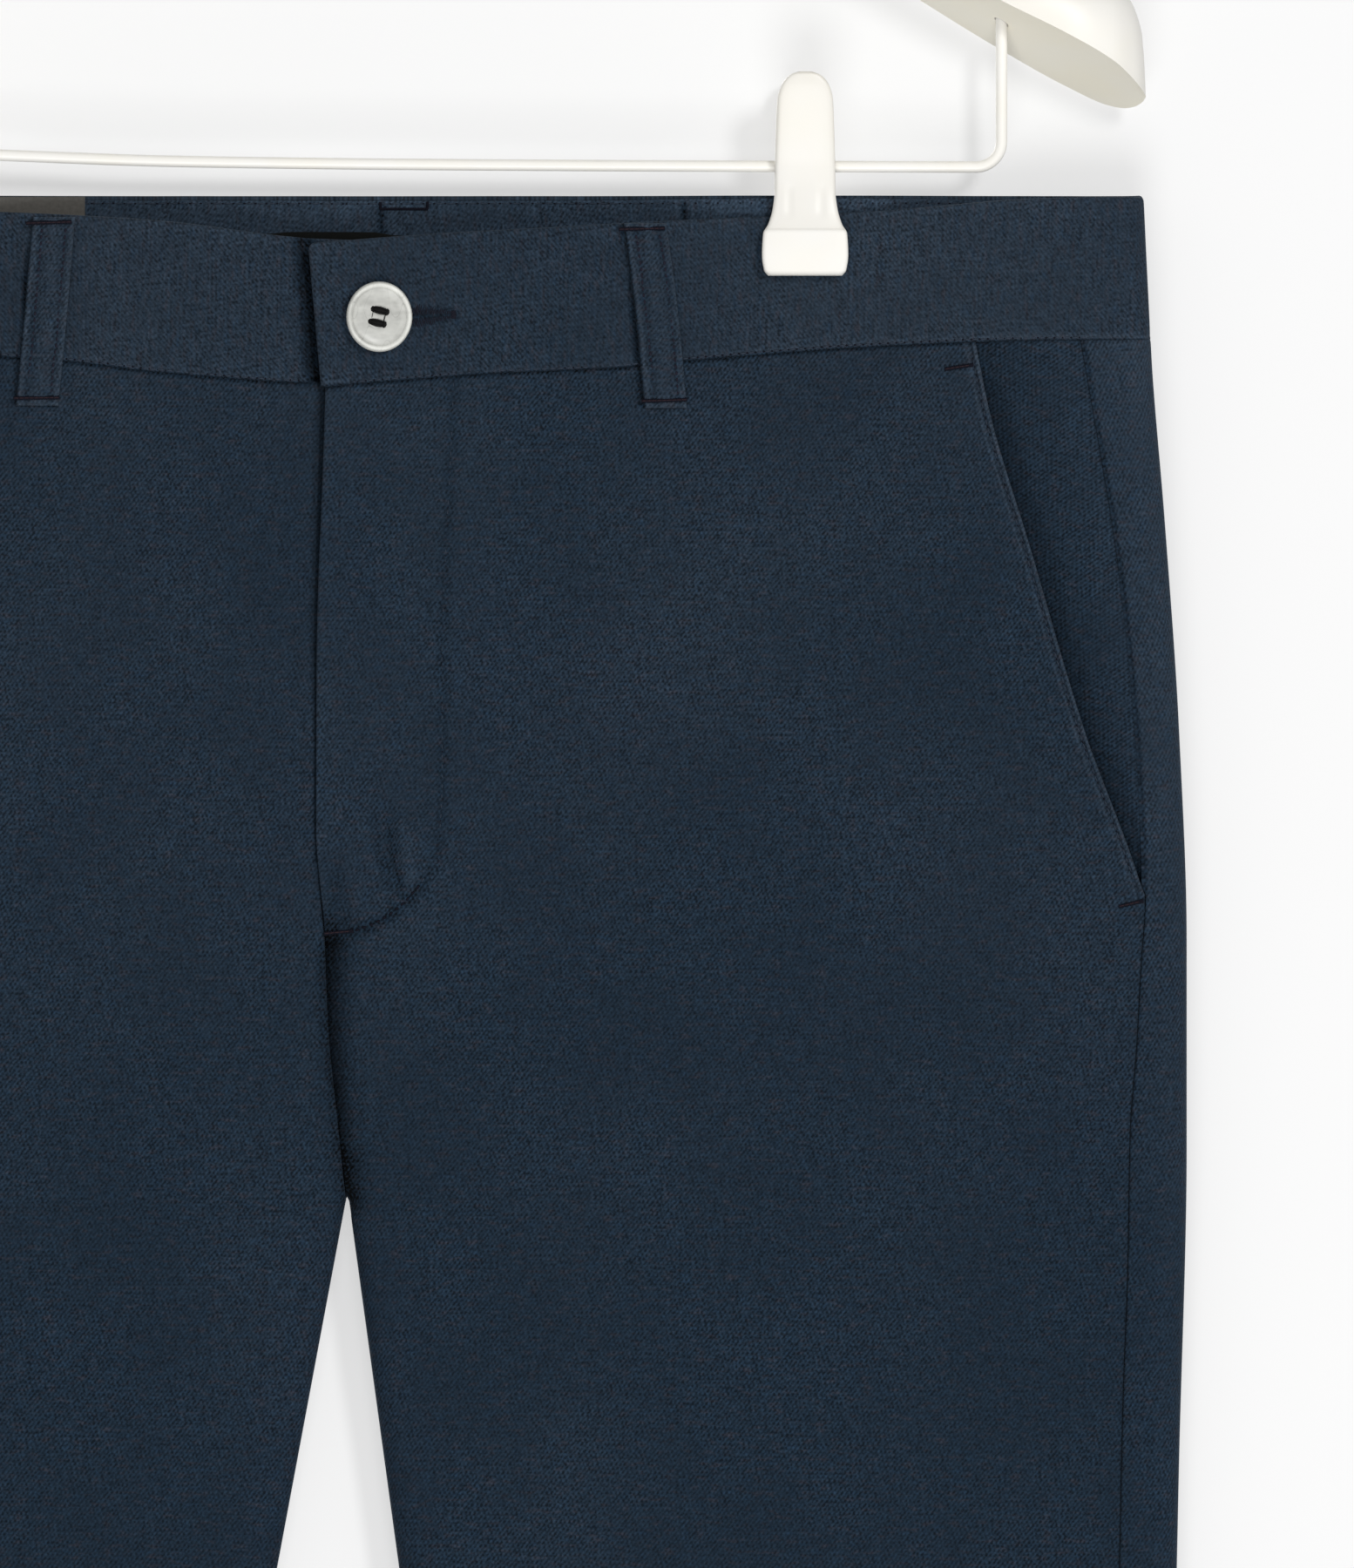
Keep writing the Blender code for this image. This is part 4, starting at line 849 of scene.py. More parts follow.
def build_front(leg):
    """A front panel, from the fly or centre seam out to the pocket edge and side seam."""
    levels = BODY_LEVELS[:, None]
    if leg > 0:
        near = np.concatenate([EDGE_STEPS[:-1], graded((8.0, 0.8), (42, 0.85), (48, 1.8))])
    else:
        near = np.concatenate([EDGE_STEPS[:-1], graded((8.0, 0.7), (17, 0.8), (24, 2.0))])
    far = (
        0, 0.07, 0.22, 0.45, 0.75, 1.0, 1.2, 1.27, 1.42, 1.65, 1.95, 2.3, 2.8, 3.6, 5.0, 7.0
    )
    layout = columns(near, far, 78 if leg > 0 else 88)
    drop = np.repeat(levels, len(layout[0]), 1)
    for _ in range(4):
        lap = LAP * ease(POCKET_FOOT + 3, POCKET_FOOT + 8, drop)
        start, end = front_inner_x(drop, leg), front_outer_x(drop, leg) + leg * lap
        x = across(start, end, layout)
        drop = level_drop(levels, x, leg)
    beyond = lap - np.abs(end - x)
    inner, outer = np.abs(x - start), np.maximum(-beyond, 0) * 0.96
    pocket = 1 - ease(POCKET_FOOT - 0.5, POCKET_FOOT + 1.5, drop)
    below_fly = ease(FLY_DROP - 2, FLY_DROP + 8, drop)
    lift = hem_lift(drop) - edge_roll(levels - BACK_SEAM + 0.7, 1.5)
    lift = lift + hem_pucker(x, drop, 11 + leg)
    lift = lift - edge_roll(outer, 0.75) - 1.35 * ease(0.0, 0.18, beyond)
    lift = lift - 0.62 * pocket * bump(outer - 1.65, 0.42)
    lift = lift + pocket * (0.45 * bump(outer - 0.7, 0.55) + 0.22 * bump(outer - 2.6, 0.7))
    lift = lift + 0.14 * bump(outer, 4) * unevenness(drop, x * 0.3, 3.2, 21 + leg)
    seam_pucker = 0.16 * bump(levels - BACK_SEAM, 7) * unevenness(x, drop * 0.3, 4.5, 31)
    lift = lift + seam_pucker
    wear_and_shade = pocket * (1.3 * edge_wear_and_shade(outer, 0.75) + 0.4 * bump(outer - 2.6, 0.6))
    # edge wear at the hem, and painted shade in the ditch under the waistband's foot
    wear_and_shade = wear_and_shade + 0.35 * edge_wear_and_shade(HEM_DROP - drop) - 0.9 * bump(levels - BACK_SEAM, 0.55)
    if leg > 0:
        flatter = 0.45 * ease(120, 190, drop) * (1 - below_fly)
        lift = lift - edge_roll(inner, 0.9) * (1 - flatter)
        sunk = ease(FLY_DROP - 1, FLY_DROP + 3, drop) * (1 - ease(240, 274, drop) * 0.7)
        sunk = sunk * (1 - ease(270, 282, drop))
        # where painted shade darkens the valley beside the centre front seam, below the fly
        dark = ease(FLY_DROP - 8, FLY_DROP - 2, drop) * (1 - ease(275, 283, drop))
        lift = lift - 6.6 * sunk * bump(inner - 0.6, 4.6 - 1.0 * ease(220, 250, drop))
        lift = lift + 0.5 * (1 - below_fly) * bump(inner, 3.0)
        track = distance_to(J_STITCH, x, drop)
        low = 0.35 + 0.85 * ease(185, 193, drop)
        broken = low + 0.35 * unevenness(x, drop, 2.4, 41)
        lift = lift - 0.80 * broken * bump(track, 1.2) + 0.3 * low * bump(track - 2.8, 1.6)
        along = ease(164, 186, drop) * (1 - ease(190, 194, drop))
        beside = x - WRINKLE(drop)
        # painted shade in the J-stitch's groove and in the wrinkle's trough, and painted light
        # beside the wrinkle
        shade = (0.28 + 0.55 * (low - 0.35)) * bump(track, 1.5)
        shade = shade + along * (0.9 * bump(beside, 0.8) + 0.35 * bump(beside + 2.2, 2.4))
        shade = shade - 0.22 * along * bump(beside - 4.0, 2.8)
        # the fly's edge paler with edge wear and a painted highlight, less the painted shade
        # above
        wear_and_shade = wear_and_shade + 0.25 * edge_wear_and_shade(inner, 0.8) * (1 - below_fly) - shade
        # painted shade in the valley beside the centre front seam
        wear_and_shade = wear_and_shade - dark * bump(inner, 4.4 - 2.0 * ease(206, 235, drop))
        wear_and_shade = wear_and_shade - 0.75 * dark * bump(inner, 6.2) * ease(194, 206, drop)
        wear_and_shade = wear_and_shade - 0.6 * dark * bump(inner, 3.0) * ease(240, 262, drop)
        wear_and_shade = wear_and_shade + 0.08 * (1 - ease(34, 60, x)) * (1 - below_fly)
        # painted shade in the hollow beside the foot of the fly
        hollow = ease(178, 190, drop) * (1 - ease(206, 216, drop))
        wear_and_shade = wear_and_shade - 0.34 * hollow * bump(inner - 4.2, 3.2)
    else:
        edge = CENTRE_FRONT(drop)
        wide = 3.6 - 1.2 * ease(60, 110, drop) - 1.4 * ease(110, 150, drop)
        wide = wide - 0.5 * ease(150, 180, drop)
        reach = edge + 0.5 - 0.3 * ease(110, 150, drop) + 0.4 * ease(150, 180, drop)
        under = ease(edge - wide, reach, x) * (1 - ease(FLY_DROP - 7, FLY_DROP + 6, drop))
        lift = lift - (UNDERLAP_DEPTH + 1.5 - 1.0 * ease(60, 130, drop)) * under
        lift = lift - edge_roll(inner, 0.9) + below_fly * 0.5 * bump(inner - 1.5, 2.4)
        # painted shade beside the centre front seam below the fly
        wear_and_shade = wear_and_shade - 0.9 * below_fly * bump(inner, 2.2) * (1 - ease(275, 283, drop))
    # painted shadow along the belt loops' left edges
    wear_and_shade = wear_and_shade - 1.2 * loop_shadow(x, drop, -1)
    return cloth_piece(
        f"front_panel_{SIDE[leg]}", x, drop, -1, leg, lift, nodes=[f"front_{SIDE[leg]}"],
        wear_and_shade=wear_and_shade,
    )


def build_back(leg):
    """A back panel: it starts at the side seam on the front and wraps round the side."""
    levels = BODY_LEVELS[:, None]
    strip = np.array((0, 0.025, 0.07, 0.13, 0.22, 0.36, 0.52, 0.7, 0.86))
    inner_fold = np.array((0, 0.06, 0.22, 0.5, 0.9, 1.5, 2.4, 3.6, 5.4, 8.0))
    back = columns((0,), inner_fold, 96)
    count = len(strip) + 2 * len(FOLD_ANGLES) - 1 + len(back[0]) - 1
    drop = np.repeat(levels, count, 1)
    faces = np.ones(count)
    faces[: len(strip) + len(FOLD_ANGLES) - 1] = -1
    for _ in range(3):
        side = outline_x(drop, leg)
        seam = leg * (SIDE_SEAM(drop) - 0.45 * (drop < POCKET_FOOT) + GAP / 4)
        a, b, c = len(strip), len(FOLD_ANGLES), 2 * len(FOLD_ANGLES) - 1
        x = np.empty_like(drop)
        x[:, :a] = seam[:, :a] + (side[:, :a] - leg * FOLD_RUN - seam[:, :a]) * strip
        x[:, a : a + b] = side[:, a : a + b] - leg * fold_run(FOLD_ANGLES)
        x[:, a + b : a + c] = side[:, a + b : a + c] - leg * fold_run(FOLD_ANGLES[::-1][1:])
        start = side[:, a + c - 1 : a + c] - leg * FOLD_RUN
        end = back_inner_x(drop, leg)[:, a + c :]
        x[:, a + c :] = across(start, end, (back[0][1:], back[1][1:]))
        drop = np.where(faces < 0, level_drop(levels, x, leg), levels)
    inner = np.where(faces > 0, np.abs(x - back_inner_x(drop, leg)), FAR)
    outer = np.where(faces < 0, np.abs(x - leg * SIDE_SEAM(drop)), FAR)
    tucked = 0.25 + 0.75 * ease(0.5, 4, edge_distance(x, drop, leg))
    lift = hem_lift(drop) - edge_roll(levels - BACK_SEAM + 0.7, 1.5) * tucked
    lift = lift + hem_pucker(x + 900 * (faces > 0), drop, 15 + leg)
    lift = lift - edge_roll(outer, 0.75) - edge_roll(inner, 0.9)
    lift = lift + 0.12 * bump(inner, 5) * unevenness(drop, x * 0.3, 3.6, 51 + leg)
    lift = lift + 0.16 * bump(levels - BACK_SEAM, 7) * unevenness(x, drop * 0.3, 4.5, 33)
    wear_and_shade = 0.35 * edge_wear_and_shade(HEM_DROP - drop) + 0.12 * edge_wear_and_shade(inner, 1.0)
    pale = 0.26 - 0.24 * ease(170, 230, drop) + 0.32 * ease(0, 18, outer)
    wear_and_shade = wear_and_shade + (faces < 0) * pale
    # painted shade in the side seam's ditch
    wear_and_shade = wear_and_shade - 0.7 * bump(outer, 0.45)
    return cloth_piece(
        f"back_panel_{SIDE[leg]}", x, drop, faces, leg, lift, nodes=[f"back_{SIDE[leg]}"],
        grain=radians(-7), wear_and_shade=wear_and_shade, wraps=True,
    )


BAND_SHARES = graded(
    (0, 0.003), (0.03, 0.012), (0.07, 0.03), (0.5, 0.05), (0.93, 0.03), (0.965, 0.008),
    (1, 0.003),
)


def buttonhole_drop(x):
    return BUTTON_DROP - 0.05 + 0.06 * (20 - x)


def build_waistband(leg):
    """Half a waistband, from its free end at the front round to the centre back."""
    share = BAND_SHARES[:, None]
    near = EDGE_STEPS if leg > 0 else graded((0, 1.0), (14, 1.0), (50, 0.9), (56, 1.6))
    front = columns(near, (0,), 126 if leg > 0 else 104)
    back = columns((0,), EDGE_STEPS[:9], 128)
    a, b = len(front[0]), len(FOLD_ANGLES)
    count = a + 2 * b - 3 + len(back[0])
    share = np.repeat(share, count, 1)
    faces = np.ones(count)
    faces[: a + b - 1] = -1
    side = outline_x(BACK_SEAM * share, leg)
    top_x, foot_x = BAND_TIP[leg]
    tip = top_x + (foot_x - top_x) * share
    x = np.empty_like(share)
    x[:, :a] = across(tip[:, :a], side[:, :a] - leg * FOLD_RUN, front)
    x[:, a : a + b - 1] = side[:, a : a + b - 1] - leg * fold_run(FOLD_ANGLES[1:])
    x[:, a + b - 1 : a + 2 * b - 3] = side[:, a + b - 1 : a + 2 * b - 3] - leg * fold_run(
        FOLD_ANGLES[::-1][1:-1]
    )
    rest = side[:, a + 2 * b - 3 :] - leg * FOLD_RUN
    x[:, a + 2 * b - 3 :] = across(rest, CENTRE_BACK_TOP_X + leg * 0.01, back)
    top = np.where(faces < 0, BAND_TOP[leg](x), 0.0) - 0.6 * ease(-4, 4, faces * 9.0)
    seam = np.where(faces < 0, BAND_SEAM[leg](x), BACK_SEAM)
    drop = top + (seam - 0.1 - top) * share
    ahead = np.where(faces < 0, np.abs(x - tip), FAR)
    if leg > 0:
        # the free end's top corner is rounded
        p = np.clip(1 - ahead / TIP_RADIUS, 0, 1)
        q = np.clip(1 - (drop - top) / TIP_RADIUS, 0, 1)
        inward = TIP_RADIUS * (p - p * np.sqrt(1 - q * q / 2))
        down = TIP_RADIUS * (q - q * np.sqrt(1 - p * p / 2))
        x = x + np.where(faces < 0, inward, 0)
        drop = drop + np.where(faces < 0, down, 0)
    above, below = share * (seam - top), (1 - share) * (seam - top)
    tucked = 0.25 + 0.75 * ease(0.5, 4, edge_distance(x, drop, leg))
    lift = 0.25 * tucked - edge_roll(above, 1.05) - edge_roll(below, 1.0) * tucked
    lift = lift - 0.22 * tucked * bump(below - 1.35, 0.4) + 0.05 * bump(below - 0.7, 0.5)
    lift = lift + 0.15 * bump(below, 6) * unevenness(x + 500 * faces, drop * 0.3, 4.4, 61)
    lift = lift + 0.10 * bump(above, 5) * unevenness(x + 500 * faces, drop * 0.3, 6.5, 63)
    lift = lift + 0.12 * unevenness(x + 500 * faces, drop, 9.0, 65)
    # a paler line just above the band's foot, more so towards the viewer's right
    foot_paleness = (0.2 + 0.3 * ease(50, 180, x)) * bump(below - 1.0, 0.6)
    wear_and_shade = 0.22 * edge_wear_and_shade(above, 1.2) + foot_paleness
    # painted shade in the seam at the band's foot
    wear_and_shade = wear_and_shade - 0.8 * bump(below, 0.4)
    # the band is paler towards the viewer's right
    wear_and_shade = wear_and_shade + 0.12 * ease(30, 190, x)
    if leg > 0:
        lift = lift - edge_roll(ahead, 1.5) + 1.5 * bump(ahead, 6)
        wear_and_shade = wear_and_shade + 0.25 * edge_wear_and_shade(ahead, 0.9)
        # painted shadow in the buttonhole's slit
        slit = bump(drop - buttonhole_drop(x), 1.5 - 0.5 * ease(20, 30, x))
        wear_and_shade = wear_and_shade - 0.9 * slit * ease(9, 14, x) * (1 - ease(30, 31.4, x))
    else:
        end = BAND_TIP[1][0] + (BAND_TIP[1][1] - BAND_TIP[1][0]) * share
        under = ease(end - 4.6, end - 0.4, x) * (faces < 0)
        lift = lift - (BAND + GAP + 2.6) * under
        # painted shadow beside the free end of the other half, which overlaps this one
        wear_and_shade = wear_and_shade - 1.4 * bump(x - end + 1.0, 2.8) * (faces < 0)
    # painted shadow along the belt loops' left edges
    wear_and_shade = wear_and_shade - 1.2 * loop_shadow(x, drop, faces)
    tuck = pinch(x, drop)
    lift = lift * (1 - tuck) + np.minimum(lift, 0.0) * tuck
    band = cloth_piece(
        f"waistband_half_{SIDE[leg]}", x, drop, faces, leg, lift, "navy_twill_band",
        [f"waistband_{SIDE[leg]}"], wall=BAND_WALL, grain=pi / 2, wear_and_shade=wear_and_shade, wraps=True,
    )
    # the inner face takes the paler copy of the twill: painted light
    band.data.materials.append(material("navy_twill_inside_lit"))
    band.modifiers["cloth thickness"].material_offset = 1
    return band


def flat_strip(name, leg, face, depth, place, cols, rows, finish, nodes, **more):
    """A flat piece at a depth; place(across, along) gives its x and drop."""
    over, down = np.meshgrid(np.linspace(0, 1, cols + 1), np.linspace(0, 1, rows + 1))
    x, drop = place(over, down)
    return cloth_piece(name, x, drop, face, leg, -depth, finish, nodes, **more)


def build_fly():
    def start(drop, inset):
        return CENTRE_FRONT(drop) + inset

    def facing(over, down):
        drop = FLY_TOP + (FLY_DROP - 1.0 - FLY_TOP) * down
        return start(drop, 0.6) + (FLY_CURVE(drop) - start(drop, 0.6)) * over, drop

    def tapes(over, down):
        drop = FLY_TOP + (FLY_DROP - 15.0 - FLY_TOP) * down
        return start(drop, -1.0 + 25.0 * over), drop

    def shield(over, down):
        drop = FLY_TOP + (FLY_DROP - FLY_TOP) * down
        begin = start(drop, -9.0)
        return begin + (42.0 - 16.0 * ease(0.75, 1.0, down)) * over, drop

    lining = {"wall": 0.8}
    return [
        flat_strip(
            "fly_facing_cloth", 1, -1, FACING_DEPTH, facing, 20, 60,
            "navy_twill_facing", ["fly_facing"], **lining,
        ),
        flat_strip(
            "zip_tape_cloth", 1, -1, ZIP_DEPTH, tapes, 14, 50, "black_lining",
            ["zip_tapes"], slot="dark_lining", **lining,
        ),
        flat_strip(
            "fly_shield_cloth", 1, -1, SHIELD_DEPTH, shield, 20, 60,
            "navy_twill_facing", ["fly_shield"], **lining,
        ),
    ]


def build_zip():
    """Interlocked teeth down the tapes, and the slider's own finish."""
    shape = bmesh.new()
    drops = np.arange(FLY_TOP + 32, FLY_DROP - 20, 1.5)
    for k, drop in enumerate(drops):
        x = 8.5 + (0.7 if k % 2 else -0.7) + CENTRE_FRONT(drop) + 6.0
        spot = raised(x, drop, -1, 1, -(ZIP_DEPTH - 0.42))
        frame_of = Matrix.Translation(Vector(spot) * MM) @ Matrix.Diagonal(
            (2.4 * MM, 0.7 * MM, 0.9 * MM, 1)
        )
        bmesh.ops.create_cube(shape, size=1.0, matrix=frame_of)
    join_piece("zip_teeth", mesh_of("zip_teeth", shape), "zip_brass")
    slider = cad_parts["zip_slider"]
    slider.data.materials.clear()
    slider.data.materials.append(material("zip_brass"))


def build_pocket(leg):
    """The facing behind the slanted edge, and the bag that it closes."""
    side = SIDE[leg]
    rows = graded((0, 0.2), (1.6, 0.4), (5, 1.4), (149, 1.6))[:, None] / 149
    top = BAND_SEAM[leg](leg * 190.0) - 0.6
    drop = top + (POCKET_FOOT - 4.0 - top) * rows
    edge, seam = POCKET_EDGE(drop), SIDE_SEAM(drop)
    end = seam + 0.8
    under = np.linspace(0, 1, 10)[:-1]
    mouth = edge + 0.6
    shares = graded((0, 0.06), (0.8, 0.03), (1, 0.006))
    x = np.hstack([edge - 24 + (mouth - edge + 24) * under, mouth + (end - mouth) * shares])
    drop = np.repeat(drop, x.shape[1], 1)
    shown = ease(edge - 0.8, edge + 7.0, x)
    depth = (POCKET_DEPTH + 0.6 - 2.2 * (1 - ease(3, 16, drop - top))) * (1 - shown) + 0.15
    lift = -depth - 1.3 * ease(seam - 1.3, seam - 0.4, x) - edge_roll(drop - top, 1.5)
    lift = lift + 0.5 * unevenness(x, drop, 14, 71 + leg) * shown * (1 - shown) * 3
    # painted shade on the facing: darker in the recess along the pocket edge, paler towards the
    # side seam, darker towards the pocket's foot
    shade = 0.14 * ease(105, 175, drop)
    facing = cloth_piece(
        f"pocket_facing_cloth_{side}", leg * x, drop, -1, leg, lift, "navy_twill_facing",
        [f"pocket_facing_{side}"], wall=0.8, grain=radians(16),
        wear_and_shade=-0.26 + 0.42 * ease(0.05, 0.95, (x - edge) / (seam - edge)) - shade,
    )
    # the bag: two flat layers, folded at the inner edge
    down = np.linspace(0, 1, 40)[:, None]
    drop = 48.0 + 214.0 * down
    low = ease(200, 262, drop)
    hidden = np.where(drop > POCKET_FOOT, SIDE_SEAM(drop) - 3 - 30 * low, SIDE_SEAM(drop) - 3)
    mouth = np.minimum(POCKET_EDGE(drop) - 1.0, hidden)
    inner = 116.0 + 10.0 * ease(0.6, 1.0, down)
    room = LINING + 2 * LAYER_GAP
    turn = (room + 2 * LINING) / 2
    out_run, turning = np.linspace(0, 1, 20), np.radians(np.linspace(0, 180, 9)[1:-1])
    front, rear = FACING_DEPTH, FACING_DEPTH + 2 * LINING + room
    x = np.hstack([
        mouth + (inner + turn - mouth) * out_run,
        inner + turn - turn * np.sin(turning),
        inner + turn + (hidden - inner - turn) * out_run,
    ])
    middle = (front + rear) / 2
    depth = np.concatenate(
        [0 * out_run + front, middle - turn * np.cos(turning), 0 * out_run + rear]
    )
    drop = np.repeat(drop, x.shape[1], 1)
    bag = cloth_piece(
        f"pocket_bag_cloth_{side}", leg * x, drop, -1, leg, -depth, "navy_pocketing",
        [f"pocket_bag_{side}"], wall=0.35, slot="pocketing",
    )
    return [facing, bag]


Loop = namedtuple("Loop", "name face x_top x_foot top foot")
LOOPS = [
    Loop("belt_loop_front_left", -1, 82.7, 88.5, 7.2, 58.3),
    Loop("belt_loop_front_right", -1, -79.9, -84.6, 5.5, 57.6),
    Loop("belt_loop_back_left", 1, 100.0, 103.0, 0.8, 50.6),
    Loop("belt_loop_back_right", 1, -98.0, -101.0, 0.8, 50.6),
    Loop("belt_loop_centre_back", 1, 16.2, 15.0, 0.8, 50.6),
]
LOOP_WIDTH = 11.8
LOOP_ROWS = (-2.9, 3.6)


def loop_rise(loop, drop):
    """How far a loop stands off: least at its bartacks, most below its middle."""
    along = np.clip((drop - loop.top) / (loop.foot - loop.top), 0, 1)
    return 0.35 + 0.9 * np.sin(pi * along) ** 0.55


def loop_middle(loop, drop):
    along = (drop - loop.top) / (loop.foot - loop.top)
    bow = 0.35 * sin(loop.x_top) * np.sin(pi * along)
    return loop.x_top + (loop.x_foot - loop.x_top) * along + bow


def build_loop(loop):
    """A flat folded strip with rounded edges, tucked under at both ends."""
    leg = 1 if loop.x_top > 0 else -1
    over = graded((-5.9, 0.12), (-5.0, 0.4), (-4, 0.7), (4, 0.7), (5.0, 0.4), (5.9, 0.12))
    down = graded(
        (loop.top, 0.12), (loop.top + 1.2, 0.4), (loop.top + 4, 0.8), (loop.foot - 4, 0.8),
        (loop.foot - 1.2, 0.4), (loop.foot, 0.12),
    )
    over, drop = np.meshgrid(over, down)
    x = loop_middle(loop, drop) + over
    half = LOOP_WIDTH / 2
    beside = half - np.abs(over)
    ends = np.minimum(drop - loop.top, loop.foot - drop)
    lift = loop_rise(loop, drop) + 1.35
    lift = lift - edge_roll(beside, 0.9) - edge_roll(ends, 1.0)
    rows = bump(over - LOOP_ROWS[0], 0.6) + bump(over - LOOP_ROWS[1], 0.6)
    lift = lift - 0.36 * rows + 0.26 * bump(over - 0.4, 1.7)
    lift = lift - 0.45 * bump(ends - 1.8, 0.8)
    twist = over * 0.8 + (drop - loop.top) * 0.12
    lift = lift + 0.16 * unevenness(twist, drop * 0.4, 2.6, int(abs(loop.x_top)))
    # edge wear at the tucked ends, and a painted highlight along the right edge, which faces
    # the light
    wear_and_shade = 0.8 * edge_wear_and_shade(ends, 0.8) + 0.7 * edge_wear_and_shade(half - over, 0.7)
    # painted shade along the left edge, and a pale line just inside it
    wear_and_shade = wear_and_shade - 2.2 * edge_wear_and_shade(half + over, 0.2) + 0.5 * bump(half + over - 1.0, 0.6)
    # painted shade along the stitch rows, and painted light on the raised middle
    wear_and_shade = wear_and_shade - 0.22 * rows + 0.14 * bump(over - 0.4, 1.8)
    return cloth_piece(
        f"{loop.name}_cloth", x, drop, loop.face, leg, lift, "navy_twill_loop",
        [loop.name], wall=1.6, wear_and_shade=wear_and_shade,
    )


def build_trim():
    def curtain(over, down):
        x = -68.0 + 152.0 * over
        top = Line((-68, 10.4), (-30, 10.3), (-21, 9.9), (-14, 9.3), (8, 9.4), (14, 10.3),
                   (84, 11.0))(x)
        return x, top + (45.0 - top) * down

    def label(over, down):
        return -101.0 + 29.0 * over, -0.3 + 20.7 * down

    depth = BAND + LAYER_GAP
    return [
        flat_strip(
            "waistband_curtain_cloth", 1, 1, depth, curtain, 60, 16, "black_lining",
            ["waistband_curtain"], wall=0.9, slot="dark_lining",
        ),
        flat_strip(
            "label_tape", -1, 1, depth, label, 24, 16, "label_tape", ["label"], wall=0.7,
            slot="label_cloth",
        ),
    ]


# ---- stitching -------------------------------------------------------------------------
Bead = namedtuple("Bead", "middle along out half_length radius")


def beads_mesh(name, beads, finish):
    """Short plump stitches, each a stretched sphere of a few faces."""
    shape, mesh = bmesh.new(), bpy.data.meshes.new(name)
    for first in range(0, len(beads), 40):
        batch = bmesh.new()
        for bead in beads[first : first + 40]:
            along, out = Vector(bead.along).normalized(), Vector(bead.out)
            side = along.cross(out).normalized()
            turn = Matrix((side, side.cross(along), along)).transposed().to_4x4()
            size = Vector((bead.radius, bead.radius * 0.8, bead.half_length)) * MM
            place = Matrix.Translation(Vector(bead.middle) * MM) @ turn
            place = place @ Matrix.Diagonal((*size, 1))
            bmesh.ops.create_uvsphere(
                batch, u_segments=6, v_segments=4, radius=1, matrix=place
            )
        batch.to_mesh(mesh)
        batch.free()
        shape.from_mesh(mesh)
    shape.to_mesh(mesh)
    shape.free()
    mesh.shade_smooth()
    return join_piece(name, mesh, finish)


def stitch_row(points, face, leg, lift, pitch=None, radius=0.24, fill=0.72):
    """A row of topstitches along a line of (x, drop) points, and dark beads sunk at the holes
    between them: painted shade.
    """
    pitch = pitch or settings().stitch_length / MM
    line = sampled(points, pitch)
    x, drop = line.T
    height = lift(x, drop) if callable(lift) else np.full(len(x), float(lift))
    places = raised(x, drop, face, leg, height)
    out = facing_out(x, drop, face, leg)
    beads, holes = [], []
    for k in range(len(places) - 1):
        along = places[k + 1] - places[k]
        middle = (places[k + 1] + places[k]) / 2
        half = np.linalg.norm(along) * fill / 2
        beads.append(Bead(middle, along, out[k], half, radius))
        sunk = places[k] - out[k] * 0.10
        holes.append(Bead(sunk, along, out[k], 0.34, radius * 1.15))
    return beads, holes


def bartack(start, end, face, leg, lift, half_width):
    """A bar of close stitches across a line, and a pale line of beads along the bar on top of
    them: painted sheen.
    """
    count = round(np.hypot(end[0] - start[0], end[1] - start[1]) / 0.34)
    share = np.linspace(0, 1, count + 1)
    x = start[0] + (end[0] - start[0]) * share
    drop = start[1] + (end[1] - start[1]) * share
    places, out = raised(x, drop, face, leg, lift), facing_out(x, drop, face, leg)
    run = places[-1] - places[0]
    beads = []
    for k, (place, up) in enumerate(zip(places, out)):
        cross = np.cross(run, up)
        cross = cross / np.linalg.norm(cross) + 0.12 * (-1) ** k * run / np.linalg.norm(run)
        beads.append(Bead(place, cross, up, half_width, 0.26))
    sheen_line = []
    for k in range(0, count - 3, 4):
        middle = (places[k] + places[k + 4]) / 2 + out[k] * 0.16
        sheen_line.append(Bead(middle, run, out[k], 0.34 * 2.2, 0.17))
    return beads, sheen_line


def band_seam_line(leg, face, start, end, above):
    """Points along the foot of the waistband, a little above its seam."""
    x = np.linspace(start, end, 40)
    seam = BAND_SEAM[leg](x) if face < 0 else 0 * x + BACK_SEAM
    return list(zip(x, seam - above))


